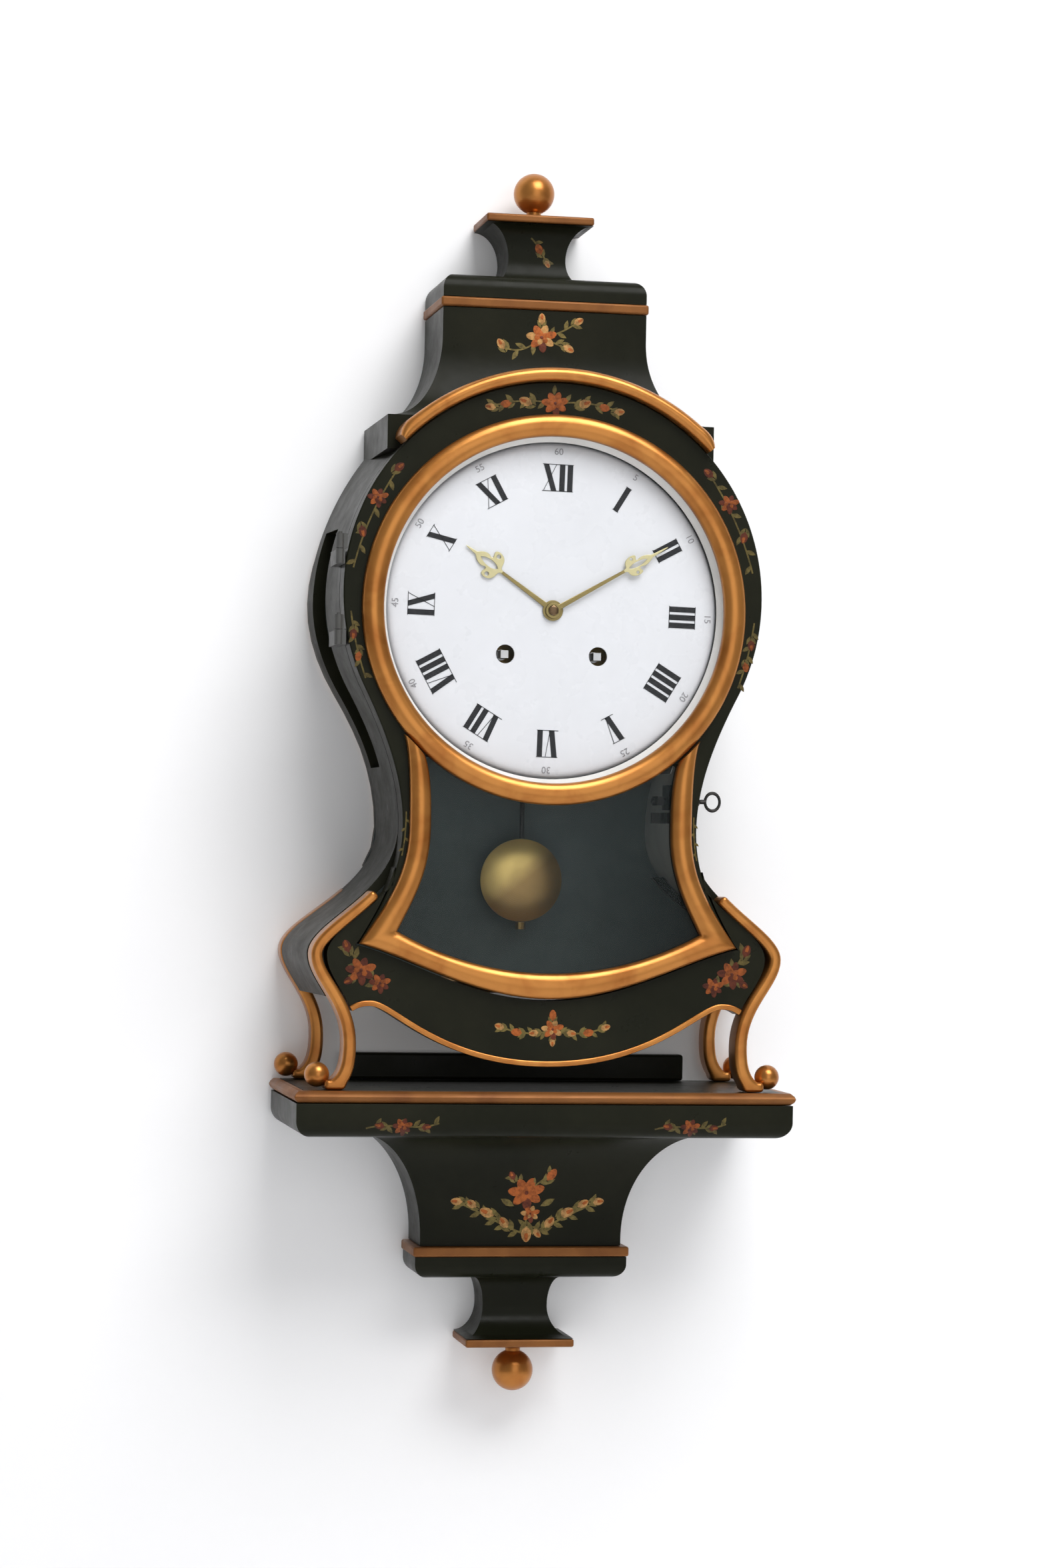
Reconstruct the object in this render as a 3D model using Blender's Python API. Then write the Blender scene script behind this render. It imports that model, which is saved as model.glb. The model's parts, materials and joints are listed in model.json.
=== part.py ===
"""Painted bracket clock on its wall bracket.

Units are metres, +Z is up, +X is to the right and the wall is the plane Y = 0, so the front
of the clock faces -Y. The origin is on the wall, behind the middle of the bracket.
"""
import math

import bmesh
import bpy
from mathutils import Vector

# Driving dimensions of the case, with heights measured from the dial's centre
DIAL_Z = 0.325              # dial centre above the bracket's wall mount
CASE_DEPTH = 0.104          # wall to the front of the door
DOOR_THICK = 0.016
DIAL_OPENING_R = 0.095
BEZEL_WIDE = 0.012
BEZEL_R = DIAL_OPENING_R + BEZEL_WIDE
DRUM_R = BEZEL_R + 0.010    # round upper part of the case, with a lacquer border round the bezel
DRUM_UP = 0.008             # its centre above the dial's centre
WAIST_HALF = 0.082
WAIST_DROP = 0.120
HIP_DROP = 0.190
ANKLE_HALF = 0.1125
ANKLE_DROP = 0.238
TOE_HALF = 0.119
WALL = 0.007                # thickness of the curved sides
BACK_THICK = 0.006
BASE_THICK = 0.006
GAP = 0.0003                # between pieces that touch
DOOR_GAP = 0.0005
DRUM_SWELL = 0.006          # how much wider each side of the drum is at the wall than at the door
HEEL_SWELL = 0.005          # the same at the hip and the back legs
SWELL_FRONT = 0.075         # wall to where the sides begin to swell
SWELL_DROP = 0.085          # where the drum's swelling ends, below the dial's centre
SWELL_HEEL = 0.135          # where the hip's swelling begins

# Sound slot in each side
SLOT_TOP = 0.045
SLOT_DROP = 0.087
SLOT_BACK = 0.017           # wall to the slot's rear edge
SLOT_FRONT = 0.049          # wall to the slot's front edge

# Mouldings and pendulum window
MOULDING_PROUD = 0.006
WINDOW_HALF = 0.067
MOULDING_WIDE = 0.0115
TIP_HALF = 0.105
TIP_DROP = 0.184
CHEEK_WIDE = 0.026          # of the case beside the moulding's tip
HIP_HALF = TIP_HALF + CHEEK_WIDE
WINDOW_CORNER_HALF = 0.0845
WINDOW_CORNER_DROP = 0.177
WINDOW_FOOT = 0.199         # lowest point of the glass below the dial's centre
DOOR_FOOT = 0.213           # lowest point of the door
GLASS = 0.002

# Roof, crown and arch
ARCH_WIDE = 0.0075
ARCH_HALF_ANGLE = 45.5      # degrees each side of the top
TOWER_HALF = 0.058
TOWER_DEEP = 0.062
TOWER_STRAIGHT = 0.016
EAVES_IN = 0.025            # eaves short of the drum's side
EAVES_HALF = DRUM_R - EAVES_IN
EAVES_SINK = 0.014          # eaves below the drum's top
EAVES_UP = DRUM_UP + DRUM_R - EAVES_SINK
TOWER_HIGH = 0.0595         # eaves to the underside of the gilt line
TOWER_UP = EAVES_UP + TOWER_HIGH
EAVES_DROP = 0.019
LINE_HIGH = 0.0055
LINE_PROUD = 0.0012
CROWN_HIGH = 0.013
CROWN_IN = 0.007
CROWN_NECK_HALF = 0.0165
CROWN_NECK_DEEP = 0.034
CROWN_NECK_HIGH = 0.033
CROWN_NECK_FLARE = 0.0085   # spread of the neck at its foot
CAP_HALF = 0.031
CAP_DEEP = 0.044
CAP_HIGH = 0.0045
BALL_R = 0.0118
BALL_OUT = 0.022            # ball centres in front of the wall

# Wall bracket
SHELF_DROP = 0.2635         # shelf top below the dial's centre
SHELF_HALF = 0.1395
SHELF_DEEP = 0.112
BEAD_HIGH = 0.0065
SHELF_HIGH = 0.0185         # fascia under the bead
SHELF_OVOLO = 0.009
CAVETTO_TOP_HALF = 0.100
CAVETTO_TOP_DEEP = 0.080
CAVETTO_HALF = 0.0575
CAVETTO_DEEP = 0.040
CAVETTO_HIGH = 0.0655
BLOCK_HALF = 0.0605
BLOCK_DEEP = 0.043
BLOCK_HIGH = 0.012
PENDANT_HALF = 0.0185
PENDANT_DEEP = 0.026
PENDANT_HIGH = 0.0335
PENDANT_CAP_HIGH = 0.0045

# Scroll legs
LEG_TOP_DROP = 0.152
LEG_WIDE_TOP = 0.0055
LEG_WIDE = 0.0090
LEG_DEEP = 0.014
TOE_BALL_R = 0.0068
TOE_HIGH = 0.0055
APRON_THICK = 0.014
APRON_HUMP_HALF = 0.098
APRON_HUMP_DROP = 0.2145
APRON_FOOT = 0.247
RAIL_HIGH = 0.011
RAIL_THICK = 0.010

# Movement
PLATE_HALF = 0.062
PLATE_UP = 0.046
PLATE_DROP = 0.066
PLATE = 0.0025
FRONT_PLATE_Y = -0.0675     # rear face of the front plate
BACK_PLATE_Y = -0.0300      # front face of the back plate
PILLAR_R = 0.0035
PILLAR_IN = 0.007
WINDING_HALF = 0.026
WINDING_DROP = 0.0245
WINDING_HOLE_R = 0.0052
PINION_TEETH = 8
GREAT_TEETH = 40
BARREL_R = 0.018
WHEEL_THICK = 0.0022
CANNON_TEETH = 12
MINUTE_TEETH = 36
MINUTE_PINION_TEETH = 10
HOUR_TEETH = 40
MOTION_SPACING = 0.0192
DIAL_R = DIAL_OPENING_R - DOOR_GAP
DIAL_DOME = 0.010
DIAL_THICK = 0.0015
HOUR_HAND_LONG = 0.060
MINUTE_HAND_LONG = 0.074
HOUR_AT = 305.0             # degrees clockwise from twelve
MINUTE_AT = 60.0
PENDULUM_Y = -0.021
PENDULUM_PIVOT_UP = 0.034
BOB_DROP = 0.149            # bob centre below the dial's centre
BOB_R = 0.0235
ESCAPE_UP = 0.018
ESCAPE_R = 0.0095
ESCAPE_TEETH = 24
BELL_R = 0.026
BELL_ROOM = 0.0026          # between the bell and the inside of the drum
BELL_TURN = 62.2            # degrees from +X, seen from the drum's centre
HAMMER_ROOM = 0.009         # between the hammer's arm and the bell
HAMMER_LONG = 0.024

# Finishes: colour, roughness, metallic
LACQUER = ("black_green_lacquer", (0.014, 0.019, 0.015, 1.0), 0.22, 0.0)
GILT = ("gilt_moulding", (0.62, 0.30, 0.075, 1.0), 0.34, 0.75)
BRASS = ("brass", (0.62, 0.46, 0.20, 1.0), 0.30, 1.0)
STEEL = ("blued_steel", (0.09, 0.09, 0.10, 1.0), 0.35, 1.0)
ENAMEL = ("white_enamel", (0.85, 0.86, 0.88, 1.0), 0.20, 0.0)
CLEAR = ("clear_glass", (0.90, 0.95, 0.95, 0.25), 0.05, 0.0)
PINE = ("stained_pine", (0.12, 0.075, 0.045, 1.0), 0.60, 0.0)


# Helpers


def clear_scene():
    for old in list(bpy.data.objects):
        bpy.data.objects.remove(old)


def finish_of(finish):
    name, colour, roughness, metallic = finish
    material = bpy.data.materials.get(name) or bpy.data.materials.new(name)
    material.use_nodes = True
    shader = material.node_tree.nodes["Principled BSDF"]
    shader.inputs["Base Color"].default_value = colour
    shader.inputs["Roughness"].default_value = roughness
    shader.inputs["Metallic"].default_value = metallic
    shader.inputs["Alpha"].default_value = colour[3]
    return material


def place(name, bm, finish, origin=(0.0, 0.0, 0.0), smooth=True):
    """Make the object from a bmesh given in world metres, with its origin where asked."""
    bmesh.ops.remove_doubles(bm, verts=bm.verts, dist=1e-6)
    bmesh.ops.recalc_face_normals(bm, faces=bm.faces)
    bmesh.ops.translate(bm, verts=bm.verts, vec=-Vector(origin))
    mesh = bpy.data.meshes.new(name)
    bm.to_mesh(mesh)
    bm.free()
    mesh.materials.append(finish_of(finish))
    if smooth:
        mesh.shade_smooth()
        mesh.set_sharp_from_angle(angle=math.radians(35))
    piece = bpy.data.objects.new(name, mesh)
    piece.location = origin
    bpy.context.scene.collection.objects.link(piece)
    return piece


def boolean(piece, helper, operation, solver="EXACT"):
    helper.hide_render = True
    helper.display_type = "WIRE"
    cut = piece.modifiers.new(operation.lower(), "BOOLEAN")
    cut.operation = operation
    cut.solver = solver
    cut.object = helper
    return piece


def bezier(start, start_handle, end_handle, end, count):
    """Points along a cubic curve, the first left out so that stretches chain."""
    points = []
    for step in range(1, count + 1):
        t = step / count
        u = 1 - t
        points.append(tuple(
            u ** 3 * a + 3 * u * u * t * b + 3 * u * t * t * c + t ** 3 * d
            for a, b, c, d in zip(start, start_handle, end_handle, end)
        ))
    return points


def arc(centre, radius, start_deg, end_deg, count):
    """Points on a circle, angles in degrees from +X towards +Z."""
    points = []
    for step in range(count + 1):
        angle = math.radians(start_deg + (end_deg - start_deg) * step / count)
        points.append((centre[0] + radius * math.cos(angle), centre[1] + radius * math.sin(angle)))
    return points


def mirrored(half):
    """A closed outline from its right half, given from the top middle to the bottom middle."""
    left = [(-x, z) for x, z in reversed(half) if abs(x) > 1e-6]
    return half + left


def sheet(loops, y_back, y_front):
    """A flat board in the XZ plane between two Y planes, its first loop the edge, the rest holes."""
    bm = bmesh.new()
    edges = []
    for loop in loops:
        corners = [bm.verts.new((x, y_back, DIAL_Z + z)) for x, z in loop]
        edges += [bm.edges.new((a, b)) for a, b in zip(corners, corners[1:] + corners[:1])]
    bmesh.ops.triangle_fill(bm, use_beauty=True, use_dissolve=False, edges=edges)
    grown = bmesh.ops.extrude_face_region(bm, geom=bm.faces[:])
    moved = [item for item in grown["geom"] if isinstance(item, bmesh.types.BMVert)]
    bmesh.ops.translate(bm, verts=moved, vec=(0, y_front - y_back, 0))
    return bm


def turned(profile, centre, segments, axis="Y"):
    """A solid turned from (radius, place along the axis) points, which close on themselves or on the axis."""
    bm = bmesh.new()
    around = {"Y": Vector((0, 1, 0)), "Z": Vector((0, 0, 1)), "X": Vector((1, 0, 0))}[axis]
    out = Vector((0, 0, 1)) if axis != "Z" else Vector((1, 0, 0))
    middle = Vector((centre[0], 0, DIAL_Z + centre[1])) if axis == "Y" else Vector(centre)
    corners = [bm.verts.new(middle + around * along + out * radius) for radius, along in profile]
    pairs = list(zip(corners, corners[1:]))
    if min(profile[0][0], profile[-1][0]) > 0:
        pairs.append((corners[-1], corners[0]))
    edges = [bm.edges.new(pair) for pair in pairs]
    bmesh.ops.spin(bm, geom=corners + edges, cent=middle, axis=around, angle=math.tau,
                   steps=segments, use_merge=True, use_duplicate=False)
    return bm


def ball(centre, radius, segments=20):
    """A turned ball on a vertical axis."""
    half = segments // 2
    profile = [(radius * math.sin(math.pi * k / half), radius * math.cos(math.pi * k / half))
               for k in range(half + 1)]
    profile[0] = (0.0, radius)
    profile[-1] = (0.0, -radius)
    return turned(profile, centre, segments, "Z")


def wall_stack(levels, back=0.0):
    """A moulding with three worked sides and a flat back, from (height, half width, depth) levels."""
    bm = bmesh.new()
    rings = []
    for z, half, deep in levels:
        corners = ((-half, -back), (-half, -deep), (half, -deep), (half, -back))
        rings.append([bm.verts.new((x, y, DIAL_Z + z)) for x, y in corners])
    for lower, upper in zip(rings, rings[1:]):
        for k in range(4):
            bm.faces.new((lower[k], lower[(k + 1) % 4], upper[(k + 1) % 4], upper[k]))
    bm.faces.new(rings[0])
    bm.faces.new(rings[-1])
    return bm


def hollow_levels(z_a, half_a, deep_a, z_b, half_b, deep_b, count=6):
    """Levels of a hollow quarter round that leaves a upright and reaches b spread flat."""
    levels = []
    for step in range(count + 1):
        angle = 0.5 * math.pi * step / count
        rise = math.sin(angle)
        spread = 1 - math.cos(angle)
        levels.append((z_a + (z_b - z_a) * rise, half_a + (half_b - half_a) * spread,
                       deep_a + (deep_b - deep_a) * spread))
    return levels


def round_levels(z_a, half_a, deep_a, z_b, inset, count=4):
    """Levels of a swelling quarter round that leaves a upright and draws in by the inset."""
    levels = []
    for step in range(count + 1):
        angle = 0.5 * math.pi * step / count
        drawn = inset * (1 - math.cos(angle))
        levels.append((z_a + (z_b - z_a) * math.sin(angle), half_a - drawn, deep_a - drawn))
    return levels


def gear(teeth, radius, bore, centre, y_back, thick, first_tooth, crossings=0):
    """A spur wheel with slim teeth, on an axis along Y, first_tooth in radians from +X."""
    pitch = math.tau / teeth
    module = 2 * radius / teeth
    outline = []
    for k in range(teeth):
        middle = first_tooth + k * pitch
        for share, reach in ((-0.27, -1.25), (-0.10, 0.85), (0.10, 0.85), (0.27, -1.25)):
            angle = middle + share * pitch
            outline.append((centre[0] + (radius + reach * module) * math.cos(angle),
                            centre[1] + (radius + reach * module) * math.sin(angle)))
    loops = [outline, arc(centre, bore, 0, 330, 11)]
    rim = radius - 3.2 * module
    hub = bore + 2.2 * module
    for k in range(crossings):
        turn = 360 / crossings
        a, b = k * turn + 9, (k + 1) * turn - 9
        loops.append(arc(centre, rim, a, b, 4) + arc(centre, hub, b - 8, a + 8, 2))
    return sheet(loops, y_back, y_back - thick)


def rod(centre, radius, y_back, y_front, segments=16):
    return turned([(0.0, y_back), (radius, y_back), (radius, y_front), (0.0, y_front)], centre, segments)


def block(low, high):
    """A plain rectangular piece between two world corners."""
    bm = bmesh.new()
    bmesh.ops.create_cube(bm, size=1.0)
    size = [b - a for a, b in zip(low, high)]
    bmesh.ops.scale(bm, verts=bm.verts, vec=size)
    bmesh.ops.translate(bm, verts=bm.verts, vec=[(a + b) / 2 for a, b in zip(low, high)])
    return bm


# Outlines, as (x, z) from the dial's centre

FRONT = -CASE_DEPTH
DOOR_BACK = FRONT + DOOR_THICK
DRUM_CENTRE = (0.0, DRUM_UP)
DRUM_LEAVES = -26.9         # degrees, where the drum runs into the waist


def lean(deg):
    """Unit vector along a circle, clockwise, at an angle from +X."""
    return math.sin(math.radians(deg)), -math.cos(math.radians(deg))


def case_side(top_deg, inset, to_ankle=True):
    """Right side of the case from an angle on the drum down to the hip or ankle, drawn in by inset."""
    drum_r = DRUM_R - inset
    points = arc(DRUM_CENTRE, drum_r, top_deg, DRUM_LEAVES, 14)
    along = lean(DRUM_LEAVES)
    start = points[-1]
    waist = (WAIST_HALF - inset, -WAIST_DROP)
    hip = (HIP_HALF - inset, -HIP_DROP)
    ease = 0.35 * (WAIST_DROP + start[1])
    points += bezier(start, (start[0] + ease * along[0], start[1] + ease * along[1]),
                     (waist[0], waist[1] + ease), waist, 7)
    drop = HIP_DROP - WAIST_DROP
    points += bezier(waist, (waist[0], waist[1] - 0.54 * drop), (hip[0], hip[1] + 0.26 * drop), hip, 9)
    if to_ankle:
        points += leg_outer(inset)
    return points


def swell(z):
    """How much further out each side of the case is at the wall, at a height from the dial's centre."""
    if z > -SWELL_DROP:
        top = DRUM_UP + DRUM_R * math.sin(math.radians(SIDE_TOP))
        share = min(1.0, abs(z) / (top if z > 0 else SWELL_DROP))
        return DRUM_SWELL * (1 - share * share * (3 - 2 * share))
    share = min(1.0, max(0.0, (-z - SWELL_HEEL) / (HIP_DROP - SWELL_HEEL)))
    return HEEL_SWELL * share * share * (3 - 2 * share)


def swelled(bm, at_wall=False):
    """Swell a piece of the case outwards from its front to the wall, or by the whole amount."""
    if not at_wall:
        bmesh.ops.bisect_plane(bm, geom=bm.verts[:] + bm.edges[:] + bm.faces[:], dist=1e-7,
                               plane_co=(0, -SWELL_FRONT, 0), plane_no=(0, 1, 0))
    for vert in bm.verts:
        near = 1.0 if at_wall else (SWELL_FRONT + vert.co.y) / (SWELL_FRONT - BACK_THICK)
        vert.co.x += math.copysign(swell(vert.co.z - DIAL_Z), vert.co.x) * min(1.0, max(0.0, near))
    bmesh.ops.triangulate(bm, faces=bm.faces[:])
    return bm


def leg_outer(inset):
    """From the hip down to the ankle."""
    hip = (HIP_HALF - inset, -HIP_DROP)
    ankle = (ANKLE_HALF - inset, -ANKLE_DROP)
    drop = ANKLE_DROP - HIP_DROP
    return bezier(hip, (hip[0], hip[1] - 0.3 * drop), (ankle[0], ankle[1] + 0.46 * drop), ankle, 8)


def window_side(inner):
    """Right edge of the window moulding from the bezel down to its lower corner."""
    top_half = WINDOW_HALF if inner else WINDOW_HALF + MOULDING_WIDE
    corner = (WINDOW_CORNER_HALF, -WINDOW_CORNER_DROP) if inner else (TIP_HALF, -TIP_DROP)
    reach = BEZEL_R + 4 * GAP
    flare = 0.004
    top = (top_half + flare, -math.sqrt(reach ** 2 - (top_half + flare) ** 2))
    waist = (top_half, -WAIST_DROP)
    points = [top] + bezier(top, (top[0] - flare, top[1] - 0.01), (waist[0], waist[1] + 0.012), waist, 4)
    drop = corner[1] - waist[1]
    points += bezier(waist, (waist[0], waist[1] + 0.45 * drop),
                     (corner[0] - 0.45 * (corner[0] - waist[0]), corner[1] - 0.28 * drop), corner, 8)
    return points


def window_foot(inner, lower=0.0):
    """Lower edge of the window moulding, from its right corner to the middle."""
    if inner:
        corner = (WINDOW_CORNER_HALF, -WINDOW_CORNER_DROP)
        foot = -WINDOW_FOOT
    else:
        corner = (TIP_HALF, -TIP_DROP)
        foot = -DOOR_FOOT
    sag = foot - corner[1]
    return bezier(corner, (0.74 * corner[0], corner[1] + (0.55 if inner else 0.22) * sag),
                  (0.40 * corner[0], foot - lower), (0.0, foot - lower), 8)


def door_half():
    """Right half of the door's edge, from the top middle round to the bottom middle."""
    points = arc(DRUM_CENTRE, DRUM_R, 90, DRUM_LEAVES, 22)
    along = lean(DRUM_LEAVES)
    start = points[-1]
    waist = (WAIST_HALF, -WAIST_DROP)
    ease = 0.35 * (WAIST_DROP + start[1])
    points += bezier(start, (start[0] + ease * along[0], start[1] + ease * along[1]),
                     (waist[0], waist[1] + ease), waist, 7)
    tip = (TIP_HALF, -TIP_DROP)
    drop = tip[1] - waist[1]
    points += bezier(waist, (waist[0], waist[1] + 0.42 * drop),
                     (tip[0] - 0.43 * (tip[0] - waist[0]), tip[1] - 0.26 * drop), tip, 8)
    return points + window_foot(False)


# Wall bracket


def edge_bead(z_top, high, half, deep, width):
    """A half-round strip round three sides of a board, open at the wall."""
    bm = bmesh.new()
    rings = []
    for step in range(5):
        swell = width * 0.45 * (math.sin(math.pi * step / 4) - 1)
        h, d = half + swell, deep + swell
        inner_h, inner_d = half - width, deep - width
        outline = ((-h, 0), (-h, -d), (h, -d), (h, 0),
                   (inner_h, 0), (inner_h, -inner_d), (-inner_h, -inner_d), (-inner_h, 0))
        z = DIAL_Z + z_top - high * (1 - step / 4)
        rings.append([bm.verts.new((x, y, z)) for x, y in outline])
    for lower, upper in zip(rings, rings[1:]):
        for k in range(8):
            bm.faces.new((lower[k], lower[(k + 1) % 8], upper[(k + 1) % 8], upper[k]))
    for ring in (rings[0], rings[-1]):
        for corners in ((0, 1, 6, 7), (1, 2, 5, 6), (2, 3, 4, 5)):
            bm.faces.new([ring[k] for k in corners])
    return bm


def stemmed_ball(z_seat, up):
    """A ball on a short stem that stands on a seat, up being 1 or hanging below it, -1."""
    stem_r = 0.36 * BALL_R
    stem = 0.36 * BALL_R
    joins = math.asin(stem_r / BALL_R)
    middle = stem + BALL_R * math.cos(joins)
    profile = [(0.0, 0.0), (stem_r, 0.0)]
    for step in range(9):
        angle = math.pi - joins - (math.pi - joins) * step / 8
        profile.append((BALL_R * math.sin(angle), middle + BALL_R * math.cos(angle)))
    profile[-1] = (0.0, middle + BALL_R)
    profile = [(radius, up * along) for radius, along in profile]
    return turned(profile, (0.0, -BALL_OUT, DIAL_Z + z_seat), 18, "Z")


def build_bracket():
    z = -SHELF_DROP
    bead_wide = 0.006
    place("shelf_bead", edge_bead(z, BEAD_HIGH, SHELF_HALF, SHELF_DEEP, bead_wide), GILT)
    core = bead_wide + GAP
    under = z - BEAD_HIGH - GAP
    fascia = under - (SHELF_HIGH - SHELF_OVOLO)
    lip = 0.0015
    levels = round_levels(fascia, SHELF_HALF - lip, SHELF_DEEP - lip, under - SHELF_HIGH, SHELF_OVOLO)
    levels = levels[::-1] + [(under, SHELF_HALF - lip, SHELF_DEEP - lip),
                             (under, SHELF_HALF - core, SHELF_DEEP - core),
                             (z, SHELF_HALF - core, SHELF_DEEP - core)]
    place("bracket_shelf", wall_stack(levels), LACQUER)

    z = under - SHELF_HIGH - GAP
    foot = z - CAVETTO_HIGH
    levels = [(foot, CAVETTO_HALF, CAVETTO_DEEP)]
    levels += hollow_levels(foot + 0.004, CAVETTO_HALF, CAVETTO_DEEP, z, CAVETTO_TOP_HALF, CAVETTO_TOP_DEEP, 9)
    place("bracket_body", wall_stack(levels), LACQUER)

    z = foot - GAP
    line = (BLOCK_HALF + LINE_PROUD, BLOCK_DEEP + LINE_PROUD)
    place("bracket_line", wall_stack([(z - LINE_HIGH, *line), (z, *line)]), GILT)
    z -= LINE_HIGH + GAP
    levels = [(z, BLOCK_HALF, BLOCK_DEEP)]
    levels += round_levels(z - 0.35 * BLOCK_HIGH, BLOCK_HALF, BLOCK_DEEP, z - BLOCK_HIGH, 0.65 * BLOCK_HIGH)
    place("bracket_block", wall_stack(levels[::-1]), LACQUER)

    z -= BLOCK_HIGH + GAP
    foot = z - PENDANT_HIGH
    waist = z - 0.5 * PENDANT_HIGH
    flare = PENDANT_HALF + 0.3 * (CAP_HALF - PENDANT_HALF) + 0.003
    levels = hollow_levels(waist, PENDANT_HALF, PENDANT_DEEP, foot, CAP_HALF - GAP, CAP_DEEP - GAP)[::-1]
    flare_deep = PENDANT_DEEP + flare - PENDANT_HALF
    levels += hollow_levels(waist, PENDANT_HALF, PENDANT_DEEP, z, flare, flare_deep, 4)[1:]
    place("pendant_neck", wall_stack(levels), LACQUER)
    z = foot - GAP
    cap = [(z - PENDANT_CAP_HIGH, CAP_HALF, CAP_DEEP), (z, CAP_HALF, CAP_DEEP)]
    place("pendant_cap", wall_stack(cap), GILT)
    place("pendant_ball", stemmed_ball(z - PENDANT_CAP_HIGH - GAP, -1), GILT)


# Roof and crown

SIDE_TOP = 45.6             # degrees from +X, where the sides end under the roof
SIDE_ROOM = 0.2             # degrees between a side and the roof
LEG_ROOM = LEG_WIDE + 4 * GAP
HEEL_TOP = -LEG_TOP_DROP + 5 * GAP


def strip_between(outer, inner, y_back, y_front):
    """A curved wall between two (x, z) curves with as many points each."""
    bm = bmesh.new()
    rings = []
    for (ox, oz), (ix, iz) in zip(outer, inner):
        rings.append([bm.verts.new((x, y, DIAL_Z + z)) for x, y, z in (
            (ox, y_back, oz), (ox, y_front, oz), (ix, y_front, iz), (ix, y_back, iz))])
    for one, two in zip(rings, rings[1:]):
        for k in range(4):
            bm.faces.new((one[k], one[(k + 1) % 4], two[(k + 1) % 4], two[k]))
    bm.faces.new(rings[0])
    bm.faces.new(rings[-1])
    return bm


def build_roof():
    z = TOWER_UP
    eaves = EAVES_UP
    straight = z - TOWER_STRAIGHT
    deep = CASE_DEPTH - DOOR_THICK - DOOR_GAP
    levels = [(eaves - EAVES_DROP - 0.02, EAVES_HALF, deep), (eaves, EAVES_HALF, deep)]
    levels += hollow_levels(straight, TOWER_HALF, TOWER_DEEP, eaves, EAVES_HALF, deep, 8)[-2::-1]
    levels.append((z - GAP, TOWER_HALF, TOWER_DEEP))
    roof = place("roof_tower", wall_stack(levels), LACQUER)
    rebate = -BACK_THICK - GAP
    inside = DRUM_R - 0.7 * WALL
    drum = place("roof_drum_cutter", turned(
        [(0.0, BACK_THICK), (DRUM_R + GAP, BACK_THICK), (DRUM_R + GAP, rebate), (inside, rebate),
         (inside, -CASE_DEPTH), (0.0, -CASE_DEPTH)], DRUM_CENTRE, 72), LACQUER)
    boolean(roof, drum, "DIFFERENCE", "MANIFOLD")
    trim_top = DIAL_Z + eaves - EAVES_DROP
    trim = place("roof_eaves_cutter", block((-0.2, -0.2, trim_top - 0.05), (0.2, 0.1, trim_top)), LACQUER)
    boolean(roof, trim, "DIFFERENCE", "MANIFOLD")
    start = SIDE_TOP + SIDE_ROOM
    over = [arc(DRUM_CENTRE, radius, start, 180 - start, 24) for radius in (DRUM_R, DRUM_R - WALL)]
    top = place("roof_drum_top", strip_between(*over, rebate - GAP, GAP - deep), LACQUER)
    boolean(roof, top, "UNION", "MANIFOLD")

    line = (TOWER_HALF + LINE_PROUD, TOWER_DEEP + LINE_PROUD)
    place("crown_line", wall_stack([(z, *line), (z + LINE_HIGH, *line)]), GILT)
    z += LINE_HIGH + GAP
    levels = [(z, TOWER_HALF, TOWER_DEEP)]
    levels += round_levels(z + 0.35 * CROWN_HIGH, TOWER_HALF, TOWER_DEEP, z + CROWN_HIGH, CROWN_IN)
    z += CROWN_HIGH
    waist = z + 0.42 * CROWN_NECK_HIGH
    flare = CROWN_NECK_HALF + CROWN_NECK_FLARE
    flare_deep = CROWN_NECK_DEEP + CROWN_NECK_FLARE
    neck = hollow_levels(waist, CROWN_NECK_HALF, CROWN_NECK_DEEP, z, flare, flare_deep, 4)[::-1]
    top = z + CROWN_NECK_HIGH
    neck += hollow_levels(waist, CROWN_NECK_HALF, CROWN_NECK_DEEP, top, CAP_HALF - GAP, CAP_DEEP - GAP)[1:]
    place("crown_block", wall_stack(levels + neck), LACQUER)
    z = top + GAP
    place("crown_cap", wall_stack([(z, CAP_HALF, CAP_DEEP), (z + CAP_HIGH, CAP_HALF, CAP_DEEP)]), GILT)
    place("crown_ball", stemmed_ball(z + CAP_HIGH + GAP, 1), GILT)


def build_arch():
    """Half-round gilt hood over the door, with its ends cut square to the curve."""
    low_r = DRUM_R + GAP
    bm = bmesh.new()
    rings = []
    count = 28
    rear = DOOR_BACK
    for step in range(count + 1):
        angle = math.radians(90 + ARCH_HALF_ANGLE * (1 - 2 * step / count))
        ring = []
        section = [(low_r, rear), (low_r, FRONT - 0.45 * MOULDING_PROUD)]
        for k in range(1, 6):
            bow = math.pi * k / 6
            section.append((low_r + 0.5 * ARCH_WIDE * (1 - math.cos(bow)),
                            FRONT - MOULDING_PROUD * (0.45 + 0.55 * math.sin(bow))))
        section += [(low_r + ARCH_WIDE, FRONT - 0.45 * MOULDING_PROUD), (low_r + ARCH_WIDE, rear)]
        for r, y in section:
            ring.append(bm.verts.new((r * math.cos(angle), y, DIAL_Z + DRUM_UP + r * math.sin(angle))))
        rings.append(ring)
    size = len(rings[0])
    for one, two in zip(rings, rings[1:]):
        for k in range(size):
            bm.faces.new((one[k], one[(k + 1) % size], two[(k + 1) % size], two[k]))
    bm.faces.new(rings[0])
    bm.faces.new(rings[-1])
    place("arch_moulding", bm, GILT)


# Case


def side_curve(inset):
    """Right side wall from under the roof to the apron's hump."""
    return [p for p in case_side(SIDE_TOP, inset) if p[1] > -APRON_HUMP_DROP]


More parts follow.
